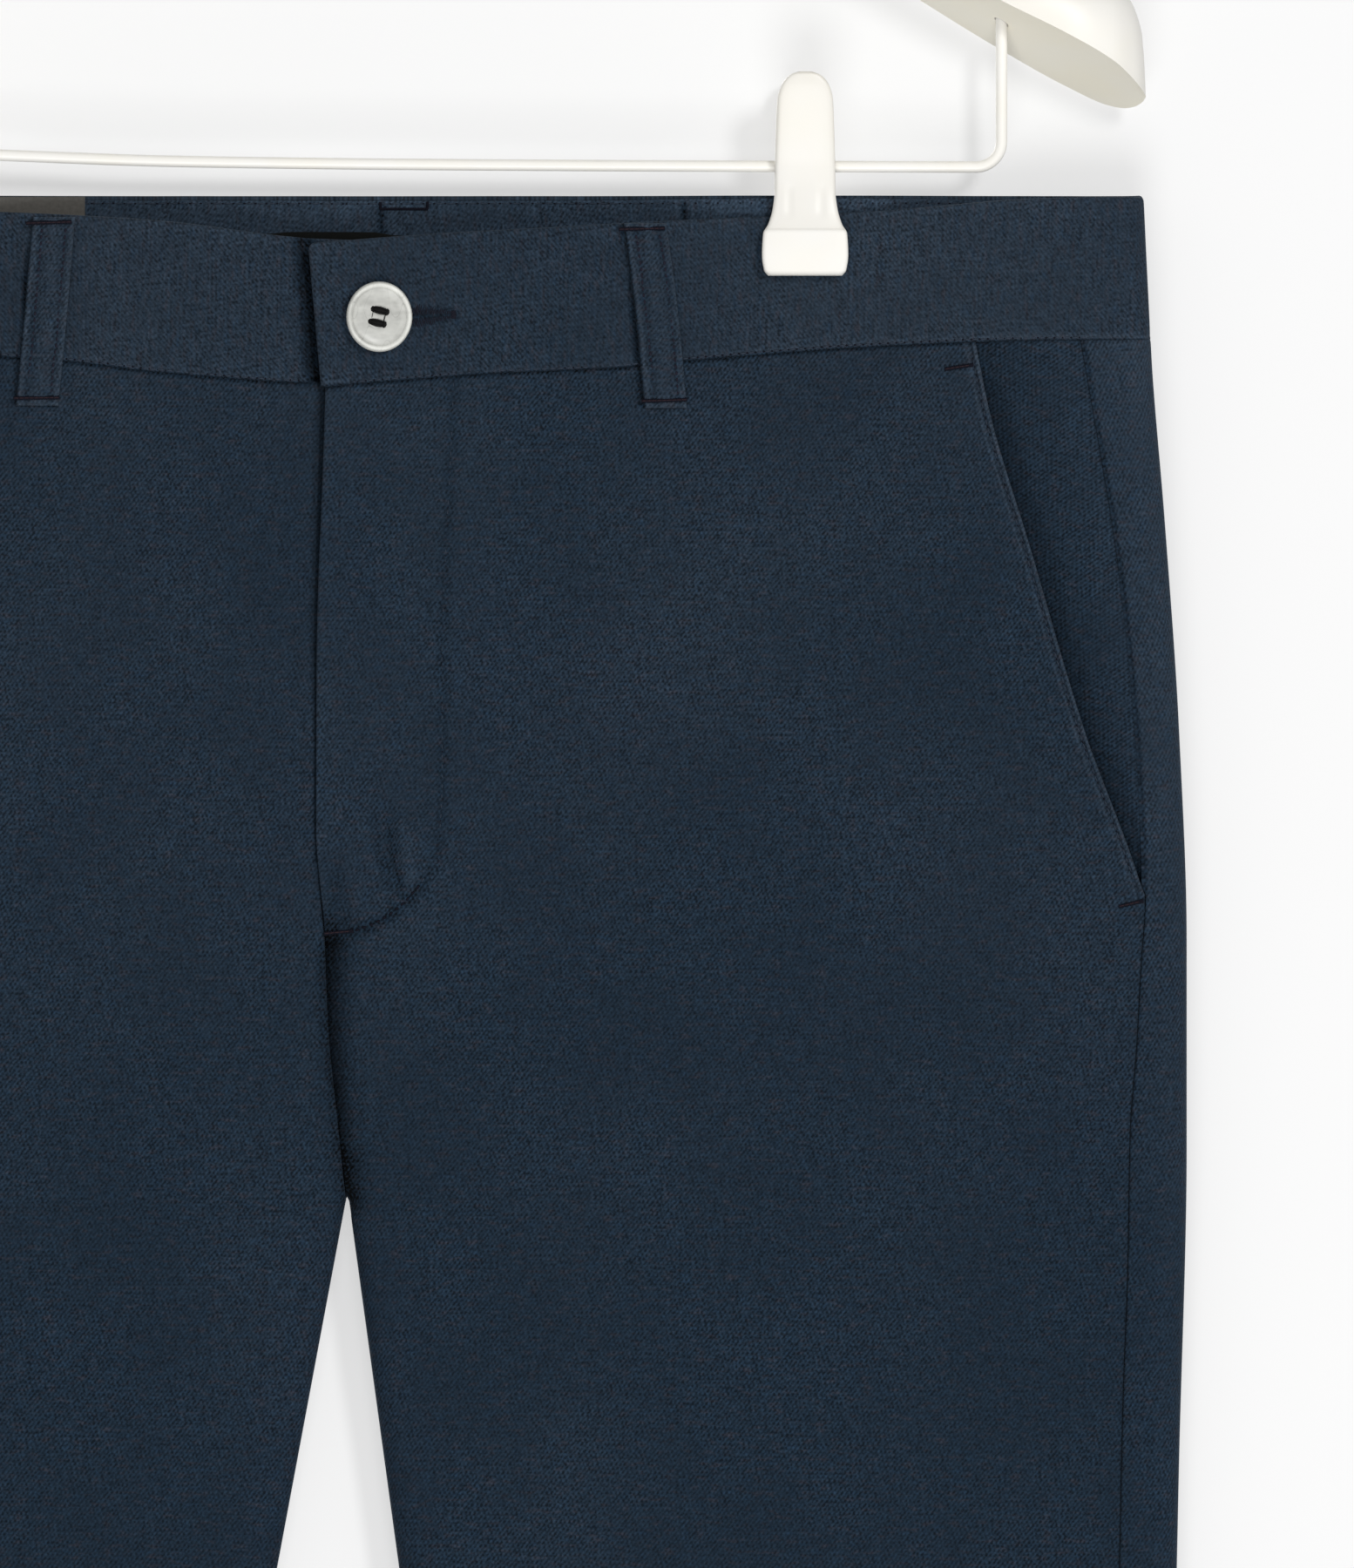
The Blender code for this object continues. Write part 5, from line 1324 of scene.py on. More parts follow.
def build_stitching():
    rows = {"seam": [], "edge": [], "loop": [], "fly": []}
    holes, tacks, sheen_lines = [], [], []

    def sew(row, *line, **more):
        stitches, between = stitch_row(*line, **more)
        rows[row] += stitches
        holes.extend(between if row in ("seam", "edge") else [])

    def tack(start, end, face, leg, lift, half_width):
        bar, sheen_line = bartack(start, end, face, leg, lift, half_width)
        tacks.extend(bar)
        sheen_lines.extend(sheen_line)

    for leg in (1, -1):
        tip = -5.4 if leg > 0 else -12.5
        front = band_seam_line(leg, -1, tip, leg * 214.0, 0.85)
        back = band_seam_line(leg, 1, leg * 214.0, CENTRE_BACK_TOP_X + leg * 0.6, 0.85)
        sew("seam", front, -1, leg, 0.16, pitch=2.3, radius=0.27)
        sew("seam", back, 1, leg, 0.16, pitch=2.3, radius=0.27)
        drop = np.linspace(44.5, POCKET_FOOT - 4, 30)
        edge = list(zip(leg * (POCKET_EDGE(drop) - 1.70), drop))
        sew("edge", edge, -1, leg, -0.42, pitch=2.4)
        hem = HEM_DROP - HEM_STITCH
        inner, side = inseam_x(hem, leg) + leg * 1.2, outline_x(hem, leg) - leg * 3.0
        for face in (-1, 1):
            ends = [(inner, hem), ((inner + side) / 2, hem), (side, hem)]
            sew("edge", ends, face, leg, 0.12)
        inner_top = [(leg * x, 1.5) for x in np.linspace(0.5, 212, 16)]
        sew("seam", inner_top, 1, leg, -1.72, radius=0.2)
        tack((leg * 165.6, 47.5), (leg * 173.2, 46.3), -1, leg, 0.32, 0.62)
        tack((leg * 213.6, 195.5), (leg * 220.0, 194.0), -1, leg, 0.30, 0.62)
    tack((-5.4, 203.0), (2.4, 202.3), -1, 1, 0.25, 0.62)
    # the centre back loop's end shows inside the band
    for start, end in (
        ((9.8, 1.2), (9.8, 2.7)), ((9.8, 2.9), (22.8, 3.0)), ((22.8, 2.8), (22.8, 1.1)),
    ):
        tack(start, end, 1, 1 if start[0] > CENTRE_BACK_TOP_X else -1, -1.80, 0.45)
    for loop in LOOPS:
        leg = 1 if loop.x_top > 0 else -1
        height = lambda x, drop, loop=loop: loop_rise(loop, drop) + 1.00
        drop = np.linspace(loop.top + 3.0, loop.foot - 3.2, 16)
        for over in LOOP_ROWS:
            wander = 0.22 * unevenness(drop, over + loop.x_top, 4.1, 81)
            line = list(zip(loop_middle(loop, drop) + over + wander, drop))
            sew("loop", line, loop.face, leg, height, pitch=1.8, radius=0.36, fill=0.74)
        for drop, over in ((loop.top + 1.6, -0.9), (loop.foot - 2.1, 0.0)):
            middle = float(loop_middle(loop, drop)) + over
            start, end = (middle - 6.4, drop + 0.15), (middle + 5.9, drop - 0.15)
            tack(start, end, loop.face, leg, float(loop_rise(loop, drop)) + 1.22, 0.65)
    sew("edge", J_STITCH[:7], -1, 1, -0.34, pitch=2.7, radius=0.19, fill=0.5)
    sew("fly", J_STITCH[6:], -1, 1, -0.52, pitch=2.1, radius=0.40, fill=0.62)
    beads_mesh("seam_stitches", rows["seam"], "edge_thread")
    beads_mesh("edge_stitches", rows["edge"], "edge_thread")
    beads_mesh("fly_stitches", rows["fly"], "navy_thread")
    beads_mesh("belt_loop_stitches", rows["loop"], "loop_thread")
    # dark beads in the stitch holes: painted shade
    beads_mesh("stitch_hole_shade", holes, "navy_thread")
    beads_mesh("bartacks", tacks, "navy_thread")
    beads_mesh("bartack_sheen_lines", sheen_lines, "bartack_sheen")


def build_buttonhole():
    """Close whipped stitches round the slit, drawn in to a bar at its outer end."""
    beads = []
    for k in range(38):
        x = 10.0 + 19.6 * k / 37
        reach = (3.1 + 0.5 * sin(7.3 * k)) * (1 - 0.62 * ease(19, 30, x))
        drop = buttonhole_drop(x)
        for side in (-1, 1):
            middle = drop + side * (reach / 2 + 0.15)
            place = raised(x, middle, -1, 1, 0.30)
            out = facing_out(np.array(x), np.array(middle), -1, 1)
            slant = np.array((0.25 * side + 0.1 * sin(5.1 * k), 0.0, -1.0))
            beads.append(Bead(place, slant, out, reach / 2, 0.19 + 0.04 * sin(9 * k)))
    start, end = (30.1, BUTTON_DROP - 1.5), (30.3, BUTTON_DROP + 0.3)
    tack, _ = bartack(start, end, -1, 1, 0.32, 0.8)
    beads_mesh("buttonhole_stitches", beads + tack, "buttonhole_thread")


# ---- turned and moulded pieces -----------------------------------------------------------
def cut_out(piece, cutters):
    """Cut bores out of a piece for good."""
    for cutter in cutters:
        bore = piece.modifiers.new("bore", "BOOLEAN")
        bore.object = cutter
        bore.solver = "EXACT"
    bpy.context.view_layer.update()
    ready = piece.evaluated_get(bpy.context.evaluated_depsgraph_get())
    mesh = bpy.data.meshes.new_from_object(ready)
    piece.modifiers.clear()
    piece.data = mesh
    for cutter in cutters:
        bpy.data.objects.remove(cutter)


def rod(start, end, radius, sides=32):
    """A plain cylinder between two places, used as a cutter."""
    start, end = Vector(start) * MM, Vector(end) * MM
    shape = bmesh.new()
    turn = (end - start).to_track_quat("Z", "Y").to_matrix().to_4x4()
    bmesh.ops.create_cone(
        shape, cap_ends=True, segments=sides, radius1=radius * MM, radius2=radius * MM,
        depth=(end - start).length, matrix=Matrix.Translation((start + end) / 2) @ turn,
    )
    return new_object("bore", mesh_of("bore", shape))


def build_button():
    """A turned, dished button with a rim, four holes and its thread."""
    middle = Vector(raised(BUTTON_X, BUTTON_DROP, -1, 1, GAP + 0.25))
    rim, face = BUTTON_RADIUS, BUTTON_THICK
    profile = [
        (0.0, 1.75), (1.5, 1.74), (4.0, 1.78), (6.0, 1.90), (7.1, 2.08), (7.6, 2.2),
        (7.8, 2.3), (7.92, 2.48), (8.1, 2.7), (8.4, 2.9), (8.72, face), (9.0, 2.92),
        (9.25, 2.65), (9.42, 2.2), (rim, 1.6), (9.3, 0.9), (8.9, 0.4), (8.2, 0.08), (7.4, 0.0),
        (0.0, 0.0),
    ]
    shape = bmesh.new()
    ring = [shape.verts.new((r * MM, -h * MM, 0)) for r, h in profile]
    for start, end in zip(ring, ring[1:]):
        shape.edges.new((start, end))
    bmesh.ops.spin(
        shape, geom=shape.verts[:] + shape.edges[:], cent=(0, 0, 0), axis=(0, 1, 0),
        angle=2 * pi, steps=72, use_merge=True, use_duplicate=False,
    )
    bmesh.ops.remove_doubles(shape, verts=shape.verts[:], dist=1e-6)
    face_outwards(shape)
    # it leans a little to the wearer's left on its thread
    lean = Matrix.Translation(middle * MM) @ Matrix.Rotation(radians(9), 4, "Z")
    lean = lean @ Matrix.Diagonal((0.955, 1, 1.01, 1))
    shape.transform(lean)
    mesh = mesh_of("pearl_button", shape)
    button = join_piece(
        "pearl_button_disc", mesh, "pearl_button", ["button"]
    )
    turn = radians(-13)
    spots = [
        Vector((x * cos(turn) - z * sin(turn), 0, x * sin(turn) + z * cos(turn)))
        for x, z in ((-1.75, 1.75), (1.75, 1.75), (-1.75, -1.75), (1.75, -1.75))
    ]
    ahead = Vector((0, -1, 0))
    cutters = [
        rod(middle + spot - ahead * 1.0, middle + spot + ahead * 4.0, 0.8, 24) for spot in spots
    ]
    cut_out(button, cutters)
    button.data.shade_smooth()
    button.data.set_sharp_from_angle(angle=radians(50))
    beads = []
    for start, end in ((spots[0], spots[1]), (spots[2], spots[3])):
        run = (end - start).normalized()
        side = run.cross(ahead)
        for offset, height in ((-0.62, 2.0), (0.58, 2.05), (-0.05, 2.35)):
            place = middle + (start + end) / 2 + side * offset + ahead * height
            beads.append(Bead(place, run, ahead, 2.05, 0.52))
        for spot, sign in ((start, -1), (end, 1)):
            place = middle + spot + run * (0.25 * sign) + ahead * 1.75
            beads.append(Bead(place, side, ahead, 0.98, 0.85))
    for start, end in ((spots[0], spots[2]), (spots[1], spots[3])):
        place = middle + (start + end) / 2 + ahead * 1.98
        beads.append(Bead(place, end - start, ahead, 1.7, 0.16))
    beads_mesh("button_thread", beads, "black_thread")


def tube(name, route, radius, finish, node, closed_sides=6):
    """A round wire along a smooth route, made a mesh."""
    curve = bpy.data.curves.new(name, "CURVE")
    curve.dimensions = "3D"
    curve.bevel_depth = radius * MM
    curve.bevel_resolution = closed_sides
    curve.use_fill_caps = True
    spline = curve.splines.new("POLY")
    spline.points.add(len(route) - 1)
    for point, place in zip(spline.points, route):
        point.co = (*(Vector(place) * MM), 1.0)
    holder = new_object(name, curve)
    bpy.context.view_layer.update()
    mesh = bpy.data.meshes.new_from_object(
        holder.evaluated_get(bpy.context.evaluated_depsgraph_get())
    )
    bpy.data.objects.remove(holder)
    mesh.shade_smooth()
    mesh.materials.clear()
    return join_piece(name, mesh, finish, [node])


ARM = {
    "front": Line(
        (0, -77.0), (10, -78.0), (28, -82.8), (60, -94.0), (100, -112.0), (140, -132.5),
        (181, -154.9), (199, -163.8), (212.4, -171.6), (217.2, -176.0), (220, -179.2),
        (221, -180.6),
    ),
    "back": Line(
        (0, -81.0), (10, -82.2), (28, -87.6), (60, -99.5), (100, -119.5), (140, -142.0),
        (181, -167.1), (199, -177.2), (212, -183.0), (215.6, -183.6), (218, -183.3),
        (219.5, -182.6), (220.4, -181.9), (221, -180.9),
    ),
    "crown": Line(
        (0, 22.0), (10, 21.0), (28, 17.5), (60, 16.0), (100, 17.5), (140, 20.0),
        (181, 22.5), (199, 24.0), (212, 26.0), (216.4, 25.0), (219.8, 18.0), (220.6, 9.0),
        (221, 0.5),
    ),
    "half_depth": Line(
        (0, 8.0), (10, 8.2), (28, 9.4), (60, 11.0), (100, 13.5), (140, 16.0), (181, 17.5),
        (199, 17.0), (212, 14.0), (218, 9.0), (220, 5.5), (221, 1.0),
    ),
}
BAR_LINE = Line(
    (-180, -194.6), (-127, -195.6), (-90, -197.1), (-47, -198.6), (25, -199.5),
    (121, -200.0), (180, -200.2),
)
BAR_X, BAR_WIRE, BAR_CORNER = 181.2, 1.6, 7.0
HOOK_WIRE, HOOK_RADIUS = 1.75, 20.0


def build_arms():
    """The moulded arms: a slanted, nearly flat underside closed by a rounded top."""
    half = 221 * np.sin(pi / 2 * np.linspace(0, 1, 65))
    x = np.concatenate([-half[:0:-1], half])[:, None]
    row = {key: line(np.abs(x)) for key, line in ARM.items()}
    share = np.linspace(0, 1, 15)[:-1]
    under_y = row["half_depth"] * (1 - 2 * share)
    under_z = row["back"] + (row["front"] - row["back"]) * share
    under_z = under_z + 0.05 * row["half_depth"] * np.sin(pi * share)
    turn = pi * np.linspace(0, 1, 41)
    rise = (1 + np.cos(turn)) / 2
    over_y = -row["half_depth"] * np.cos(turn)
    over_z = row["back"] + (row["front"] - row["back"]) * rise
    over_z = over_z + row["crown"] * np.sin(turn) ** 0.8
    y, z = np.hstack([under_y, over_y]), np.hstack([under_z, over_z])
    places = np.stack([np.repeat(x, y.shape[1], 1), y, z], -1)
    mesh, _, _ = grid_mesh("hanger_arms", places)
    shape = bmesh.new()
    shape.from_mesh(mesh)
    bmesh.ops.remove_doubles(shape, verts=shape.verts[:], dist=1e-5)
    rim = [edge for edge in shape.edges if edge.is_boundary]
    bmesh.ops.holes_fill(shape, edges=rim, sides=0)
    face_outwards(shape)
    shape.to_mesh(mesh)
    shape.free()
    arms = join_piece(
        "hanger_arms", mesh, "white_plastic", ["hanger_body"]
    )
    bores = [
        rod((side * BAR_X, 0, -190), (side * BAR_X, 0, -149), BAR_WIRE + 0.35)
        for side in (-1, 1)
    ]
    bores.append(rod((0, 0, -66.5), (0, 0, -40), HOOK_WIRE + 0.3))
    cut_out(arms, bores)
    arms.data.shade_smooth()
    arms.data.set_sharp_from_angle(angle=radians(42))
    # the downward faces take the paler, warmer copy: painted light
    arms.data.materials.append(material("arm_underside_lit"))
    for polygon in arms.data.polygons:
        polygon.material_index = 1 if polygon.normal.z < -0.7 else 0


def build_wires():
    stem = [(0, 0, z) for z in np.linspace(-66, -52, 5)]
    turn = np.radians(np.linspace(-64, 204, 90))
    radius = HOOK_RADIUS + HOOK_WIRE
    arc = [(radius * cos(a), 0, -HOOK_RADIUS + radius * sin(a)) for a in turn]
    end, start = Vector(arc[0]), Vector(stem[-1])
    neck = []
    for t in np.linspace(0, 1, 12)[1:-1]:
        first = start.lerp(Vector((0, 0, -44.5)), t)
        second = Vector((3.2, 0, -43.6)).lerp(end, t)
        neck.append(tuple(first.lerp(second, t)))
    route = stem + neck + arc
    tube("hanger_hook_wire", route, HOOK_WIRE, "white_coated_wire", "hanger_hook")
    sides = []
    reach = BAR_X - BAR_CORNER
    for side in (-1, 1):
        low = float(BAR_LINE(side * reach)) + BAR_CORNER
        bend = [
            (side * (reach + BAR_CORNER * cos(a)), 0, low - BAR_CORNER * sin(a))
            for a in np.radians(np.linspace(0, 90, 13))
        ]
        sides.append([(side * BAR_X, 0, z) for z in (-150, -160, -172, -182)] + bend)
    across_bar = [(x, 0, float(BAR_LINE(x))) for x in np.linspace(-reach, reach, 60)[1:-1]]
    route = sides[0] + across_bar + sides[1][::-1]
    tube("trouser_bar_wire", route, BAR_WIRE, "white_coated_wire", "trouser_bar")


JAW = {
    "half_width": Line(
        (-30.2, 10.2), (-28.8, 11.3), (-24.5, 11.9), (-18.7, 11.6), (-16.0, 10.2),
        (-12.0, 9.0), (-7.0, 8.4), (1.5, 8.3), (12.0, 7.95), (18.4, 7.65), (20.8, 7.1),
        (22.8, 6.2), (24.4, 4.9), (25.3, 3.5), (25.9, 1.6),
    ),
    "front": Line(
        (-30.2, -6.9), (-28.6, -7.5), (-24.5, -7.7), (-18.7, -7.3), (-16.0, -6.6),
        (-12.0, -5.9), (-7.0, -5.6), (0.0, -6.3), (6.5, -8.0), (12.0, -9.6), (19.0, -11.5),
        (23.2, -12.3), (25.2, -12.4), (25.9, -12.0),
    ),
    "back": Line(
        (-30.2, -2.45), (-18.7, -2.45), (-16.0, -2.6), (-12.0, -2.7), (-7.0, -2.5),
        (0.0, -1.8), (6.5, -4.3), (12.0, -6.4), (19.0, -8.4), (23.2, -9.5), (25.2, -10.0),
        (25.9, -10.2),
    ),
}


JAW_TOP, JAW_FOOT = 25.9, -30.2
PAD_TOP = -17.6


def build_jaw(name, side, facing):
    """One jaw: a rounded lever that widens into a thicker gripping pad."""
    heights = graded(
        (JAW_TOP, 0.12), (24.6, 0.4), (20, 0.8), (-14, 0.8), (-17.0, 0.3), (-18.2, 0.3),
        (-20, 0.7), (-27, 0.7), (-29.6, 0.3), (JAW_FOOT, 0.12),
    )[:, None]
    part = np.linspace(-1, 1, 33)
    half = JAW["half_width"](heights)
    beside = half * np.sin(pi / 2 * part)
    front, back = JAW["front"](heights), JAW["back"](heights)
    margin = half - np.abs(beside)
    ends = np.minimum(JAW_TOP - heights, heights - JAW_FOOT)
    pad = ease(-17.0, -17.9, heights)
    crown = 0.5 * np.sin(pi / 2 * np.abs(part)) ** 4
    y = front + crown + edge_roll(margin, 1.1) * 0.9 + edge_roll(ends, 1.1) * 0.9
    y = y - 0.30 * pad + 0.12 * bump(heights + 17.4, 0.35)
    ribbed = ease(-4, -7, heights) * (1 - ease(-12, -15, heights))
    rib = bump(np.abs(beside) - 4.4, 0.9) * ribbed
    y = y + 0.28 * rib
    rear = np.broadcast_to(back, y.shape) - 0.4 * edge_roll(margin, 0.8)
    y = np.minimum(y, rear - 0.5)
    middle = side * CLIP_X
    z = float(BAR_LINE(middle)) + heights
    x = middle + beside
    shape = bmesh.new()
    inward = shape.verts.layers.float_vector.new("inward")
    rows, cols = y.shape
    bmesh.ops.create_grid(shape, x_segments=cols - 1, y_segments=rows - 1, size=0.5)
    for vertex in shape.verts:
        col = round((vertex.co.x + 0.5) * (cols - 1))
        row = round((vertex.co.y + 0.5) * (rows - 1))
        outer = Vector((x[row, col], -facing * y[row, col], z[row, 0]))
        vertex.co = outer * MM
        vertex[inward] = Vector((0, -facing * (rear[row, col] - y[row, col]), 0)) * MM
    skin = shape.verts[:] + shape.edges[:] + shape.faces[:]
    grown = bmesh.ops.extrude_face_region(shape, geom=skin, use_keep_orig=True)
    for vertex in [g for g in grown["geom"] if isinstance(g, bmesh.types.BMVert)]:
        vertex.co += vertex[inward]
    face_outwards(shape)
    mesh = mesh_of(name, shape)
    mesh.shade_smooth()
    mesh.set_sharp_from_angle(angle=radians(50))
    join_piece(f"{name}_moulding", mesh, "clip_plastic", [name])
    mesh.materials.append(material("clip_pad_plastic"))
    low = (float(BAR_LINE(middle)) + PAD_TOP) * MM
    for polygon in mesh.polygons:
        polygon.material_index = 1 if polygon.center.z < low else 0


def build_spring(name, side):
    middle = side * CLIP_X
    height = float(BAR_LINE(middle)) + 6.3
    turns = np.linspace(0, 4, 97)
    route = [
        (middle + 8.0 * (t / 4 - 0.5), 2.9 * cos(2 * pi * t), height + 2.9 * sin(2 * pi * t))
        for t in turns
    ]
    tube(f"{name}_coil", route, 0.5, "spring_steel", name, 2)


# ---- stage -----------------------------------------------------------------------------
def stage_material(name, colour, glow):
    """Pale and softly shadowed, shown to the eye from its front only and clear to light."""
    s = Shader(name)
    path = s.node("ShaderNodeLightPath")
    seen = path["Is Camera Ray"].sum("MAXIMUM", path["Is Camera Ray"], path["Is Glossy Ray"])
    seen = seen.sum("MAXIMUM", seen, path["Is Transmission Ray"])
    front = 1.0 - s.node("ShaderNodeNewGeometry")["Backfacing"]
    inputs = {
        "Base Color": (*[c * (1 - glow) for c in colour], 1),
        "Roughness": 1.0,
        "Specular IOR Level": 0.0,
        "Emission Color": (*colour, 1),
        "Emission Strength": glow,
    }
    wall = s.node("ShaderNodeBsdfPrincipled", None, inputs)["BSDF"]
    clear = s.node("ShaderNodeBsdfTransparent")["BSDF"]
    shown = s.node("ShaderNodeMixShader", None, {0: seen * front, 1: clear, 2: wall})
    s.node("ShaderNodeOutputMaterial", None, {"Surface": shown["Shader"]})
    return s.material


def stage_plane(name, corners, glow):
    shape = bmesh.new()
    shape.faces.new([shape.verts.new(Vector(c) * MM) for c in corners])
    mesh = mesh_of(name, shape)
    plane = new_object(name, mesh)
    colour = tuple(settings().stage_colour)
    mesh.materials.append(stage_material(f"pale_{name}", colour, glow))


# lamps and camera are placed in metres, round the middle of what is seen
MIDDLE = Vector((0.05, 0.0, -0.36))
LAMPS = (  # name, offset from the middle, size, power
    ("key", (1.05, -2.3, 0.95), 0.5, 25.5),
    ("fill", (0.0, -2.3, -1.2), 1.4, 30),
    ("back fill", (-1.2, 2.2, 0.9), 1.6, 50),
)
VIEW_X, VIEW_Z, VIEW_HEIGHT = 0.0917, -0.3704, 0.432
LENS, SENSOR = 500.0, 36.0  # in millimetres


def lamp(name, place, target, size, power):
    light = bpy.data.lights.new(name, "AREA")
    light.shape, light.size, light.energy = "DISK", size, power
    holder = new_object(name, light)
    holder.location = place
    aim = Vector(target) - Vector(place)
    holder.rotation_euler = aim.to_track_quat("-Z", "Y").to_euler()


def build_room():
    """A wall and a floor; their corners are in millimetres."""
    # the wall leans a little, so the legs hang close to it below the hanger's depth
    half_width, foot_y, head_y, floor_z, head_z = 1600, 6.6, 45.3, -900.0, 1200.0
    foot = [(-1, foot_y, floor_z), (1, foot_y, floor_z)]
    wall = foot + [(1, head_y, head_z), (-1, head_y, head_z)]
    floor = [(-1, -3000, floor_z), (1, -3000, floor_z), foot[1], foot[0]]
    glow = settings().stage_glow
    for name, corners, light in (("wall", wall, glow), ("floor", floor, 0.3 * glow + 0.7)):
        stage_plane(name, [(half_width * x, y, z) for x, y, z in corners], light)


def build_world():
    """A dim, even light, with a paler backdrop for the camera only."""
    world = bpy.data.worlds.new("studio")
    world.use_nodes = True
    bpy.context.scene.world = world
    tree = world.node_tree
    tree.nodes.clear()
    path = tree.nodes.new("ShaderNodeLightPath")
    shades = []
    for colour, strength in (((1, 1, 1, 1), 0.42), ((0.94, 0.94, 0.94, 1), 1.0)):
        shade = tree.nodes.new("ShaderNodeBackground")
        shade.inputs["Color"].default_value = colour
        shade.inputs["Strength"].default_value = strength
        shades.append(shade)
    mix = tree.nodes.new("ShaderNodeMixShader")
    out = tree.nodes.new("ShaderNodeOutputWorld")
    sources = (path.outputs["Is Camera Ray"], shades[0].outputs[0], shades[1].outputs[0])
    for source, socket in zip(sources, mix.inputs):
        tree.links.new(source, socket)
    tree.links.new(mix.outputs[0], out.inputs[0])


def build_camera():
    scene = bpy.context.scene
    scene.view_settings.view_transform = "Standard"
    camera = bpy.data.cameras.new("camera")
    camera.lens, camera.sensor_width = LENS, SENSOR
    camera.clip_start, camera.clip_end = 0.05, 50.0
    holder = new_object("camera", camera)
    away = VIEW_HEIGHT * camera.lens / camera.sensor_width
    holder.location = (VIEW_X, -BODY_DEPTH * MM - away, VIEW_Z)
    holder.rotation_euler = (pi / 2, 0, 0)
    scene.camera = holder


# ---- what a user may change, and the operators --------------------------------------------
class ShortsSettings(bpy.types.PropertyGroup):
    cloth_colour: bpy.props.FloatVectorProperty(
        name="Cloth", description="Colour of the linen twill", subtype="COLOR", size=3,
        min=0.0, max=1.0, default=(0.0096, 0.0190, 0.0320),
    )
    thread_colour: bpy.props.FloatVectorProperty(
        name="Thread", description="Colour of the bartacks and the buttonhole",
        subtype="COLOR", size=3, min=0.0, max=1.0, default=(0.0045, 0.0045, 0.0095),
    )
    button_colour: bpy.props.FloatVectorProperty(
        name="Button", description="Colour of the pearly button", subtype="COLOR", size=3,
        min=0.0, max=1.0, default=(0.46, 0.463, 0.435),
    )
    plastic_colour: bpy.props.FloatVectorProperty(
        name="Plastic", description="Colour of the moulded hanger and its clips",
        subtype="COLOR", size=3, min=0.0, max=1.0, default=(0.888, 0.869, 0.822),
    )
    stage_colour: bpy.props.FloatVectorProperty(
        name="Stage", description="Colour of the wall and the floor", subtype="COLOR",
        size=3, min=0.0, max=1.0, default=(0.925, 0.925, 0.925),
    )
    stage_glow: bpy.props.FloatProperty(
        name="Stage glow", description="How much of the stage's paleness shadows leave alone",
        subtype="FACTOR", default=0.52, min=0.0, max=1.0,
    )
    weave_pitch: bpy.props.FloatProperty(
        name="Twill pitch", description="Distance between the diagonal ribs of the twill",
        unit="LENGTH", default=0.00099, min=0.0003, max=0.004,
    )
    stitch_length: bpy.props.FloatProperty(
        name="Stitch", description="Length of one topstitch", unit="LENGTH",
        default=0.003, min=0.001, max=0.006,
    )
    crease_height: bpy.props.FloatProperty(
        name="Creases", description="How strongly the hand-laid creases show",
        subtype="FACTOR", default=1.6, min=0.0, max=3.0,
    )


class SHORTS_OT_panels(bpy.types.Operator):
    """Build the two front and the two back panels"""

    bl_idname = "shorts.panels"
    bl_label = "Panels"

    def execute(self, context):
        for leg in (1, -1):
            build_front(leg)
            build_back(leg)
        return {"FINISHED"}


class SHORTS_OT_waistband(bpy.types.Operator):
    """Build both halves of the waistband, its curtain and the blank label"""

    bl_idname = "shorts.waistband"
    bl_label = "Waistband"

    def execute(self, context):
        build_waistband(1)
        build_waistband(-1)
        curtain, label = build_trim()
        return {"FINISHED"}


class SHORTS_OT_fly(bpy.types.Operator):
    """Build the fly's facing, its shield and the zip"""

    bl_idname = "shorts.fly"
    bl_label = "Fly"

    def execute(self, context):
        facing, tapes, shield = build_fly()
        build_zip()
        return {"FINISHED"}


class SHORTS_OT_pockets(bpy.types.Operator):
    """Build the pocket facings and the folded pocket bags"""

    bl_idname = "shorts.pockets"
    bl_label = "Pockets"

    def execute(self, context):
        for leg in (1, -1):
            facing, bag = build_pocket(leg)
        return {"FINISHED"}


class SHORTS_OT_belt_loops(bpy.types.Operator):
    """Build the five belt loops"""

    bl_idname = "shorts.belt_loops"
    bl_label = "Belt loops"

    def execute(self, context):
        for loop in LOOPS:
            build_loop(loop)
            (loop.foot - loop.top) * MM
        return {"FINISHED"}


class SHORTS_OT_stitching(bpy.types.Operator):
    """Build the topstitching, the bartacks and the buttonhole"""

    bl_idname = "shorts.stitching"
    bl_label = "Stitching"

    def execute(self, context):
        build_stitching()
        build_buttonhole()
        return {"FINISHED"}


class SHORTS_OT_button(bpy.types.Operator):
    """Build the pearly waistband button and its thread"""

    bl_idname = "shorts.button"
    bl_label = "Button"

    def execute(self, context):
        build_button()
        return {"FINISHED"}


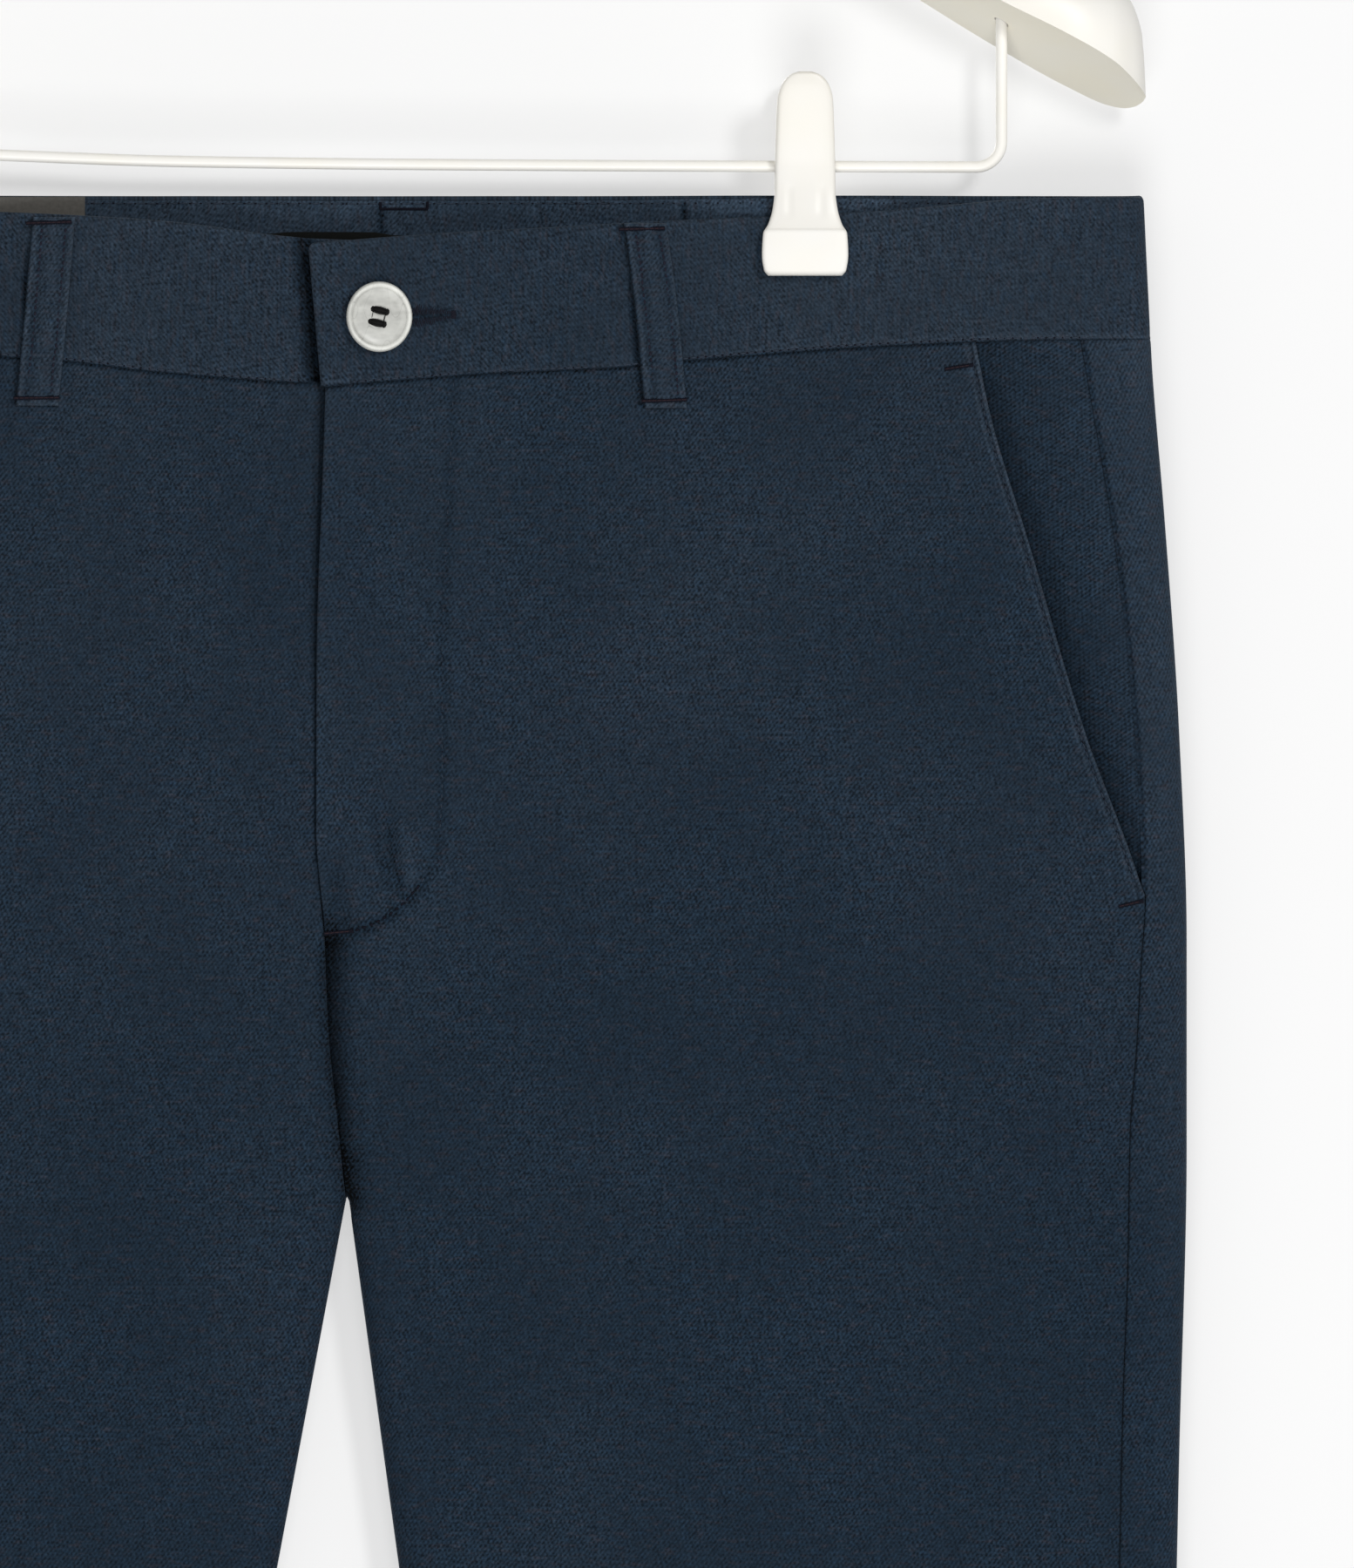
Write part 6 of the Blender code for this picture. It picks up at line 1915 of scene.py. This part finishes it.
class SHORTS_OT_hanger(bpy.types.Operator):
    """Build the hanger's arms, hook and trouser bar"""

    bl_idname = "shorts.hanger"
    bl_label = "Hanger"

    def execute(self, context):
        build_arms()
        build_wires()
        return {"FINISHED"}


class SHORTS_OT_clips(bpy.types.Operator):
    """Build the two clips with their springs"""

    bl_idname = "shorts.clips"
    bl_label = "Clips"

    def execute(self, context):
        for side, word in SIDE.items():
            build_jaw(f"clip_{word}_front_jaw", side, -1)
            build_jaw(f"clip_{word}_back_jaw", side, 1)
            build_spring(f"clip_{word}_spring", side)
        return {"FINISHED"}


class SHORTS_OT_stage(bpy.types.Operator):
    """Build the wall, the floor, the lamps and the camera"""

    bl_idname = "shorts.stage"
    bl_label = "Stage"

    def execute(self, context):
        build_room()
        for name, offset, size, power in LAMPS:
            lamp(name, MIDDLE + Vector(offset), MIDDLE, size, power)
        build_world()
        build_camera()
        return {"FINISHED"}


STEPS = (
    SHORTS_OT_panels, SHORTS_OT_waistband, SHORTS_OT_fly, SHORTS_OT_pockets,
    SHORTS_OT_belt_loops, SHORTS_OT_stitching, SHORTS_OT_button, SHORTS_OT_hanger,
    SHORTS_OT_clips, SHORTS_OT_stage,
)


class SHORTS_PT_sidebar(bpy.types.Panel):
    bl_idname = "SHORTS_PT_sidebar"
    bl_label = "Bermuda Shorts"
    bl_space_type = "VIEW_3D"
    bl_region_type = "UI"
    bl_category = "Shorts"

    def draw(self, context):
        for name in ShortsSettings.__annotations__:
            self.layout.prop(context.scene.shorts, name)
        for step in STEPS:
            self.layout.operator(step.bl_idname)


CLASSES = (ShortsSettings, *STEPS, SHORTS_PT_sidebar)


def register():
    for item in CLASSES:
        bpy.utils.register_class(item)
    bpy.types.Scene.shorts = bpy.props.PointerProperty(type=ShortsSettings)


def unregister():
    del bpy.types.Scene.shorts
    for item in reversed(CLASSES):
        bpy.utils.unregister_class(item)


def main():
    register()
    for step in STEPS:
        group, name = step.bl_idname.split(".")
        getattr(getattr(bpy.ops, group), name)()


if __name__ == "__main__":
    main()
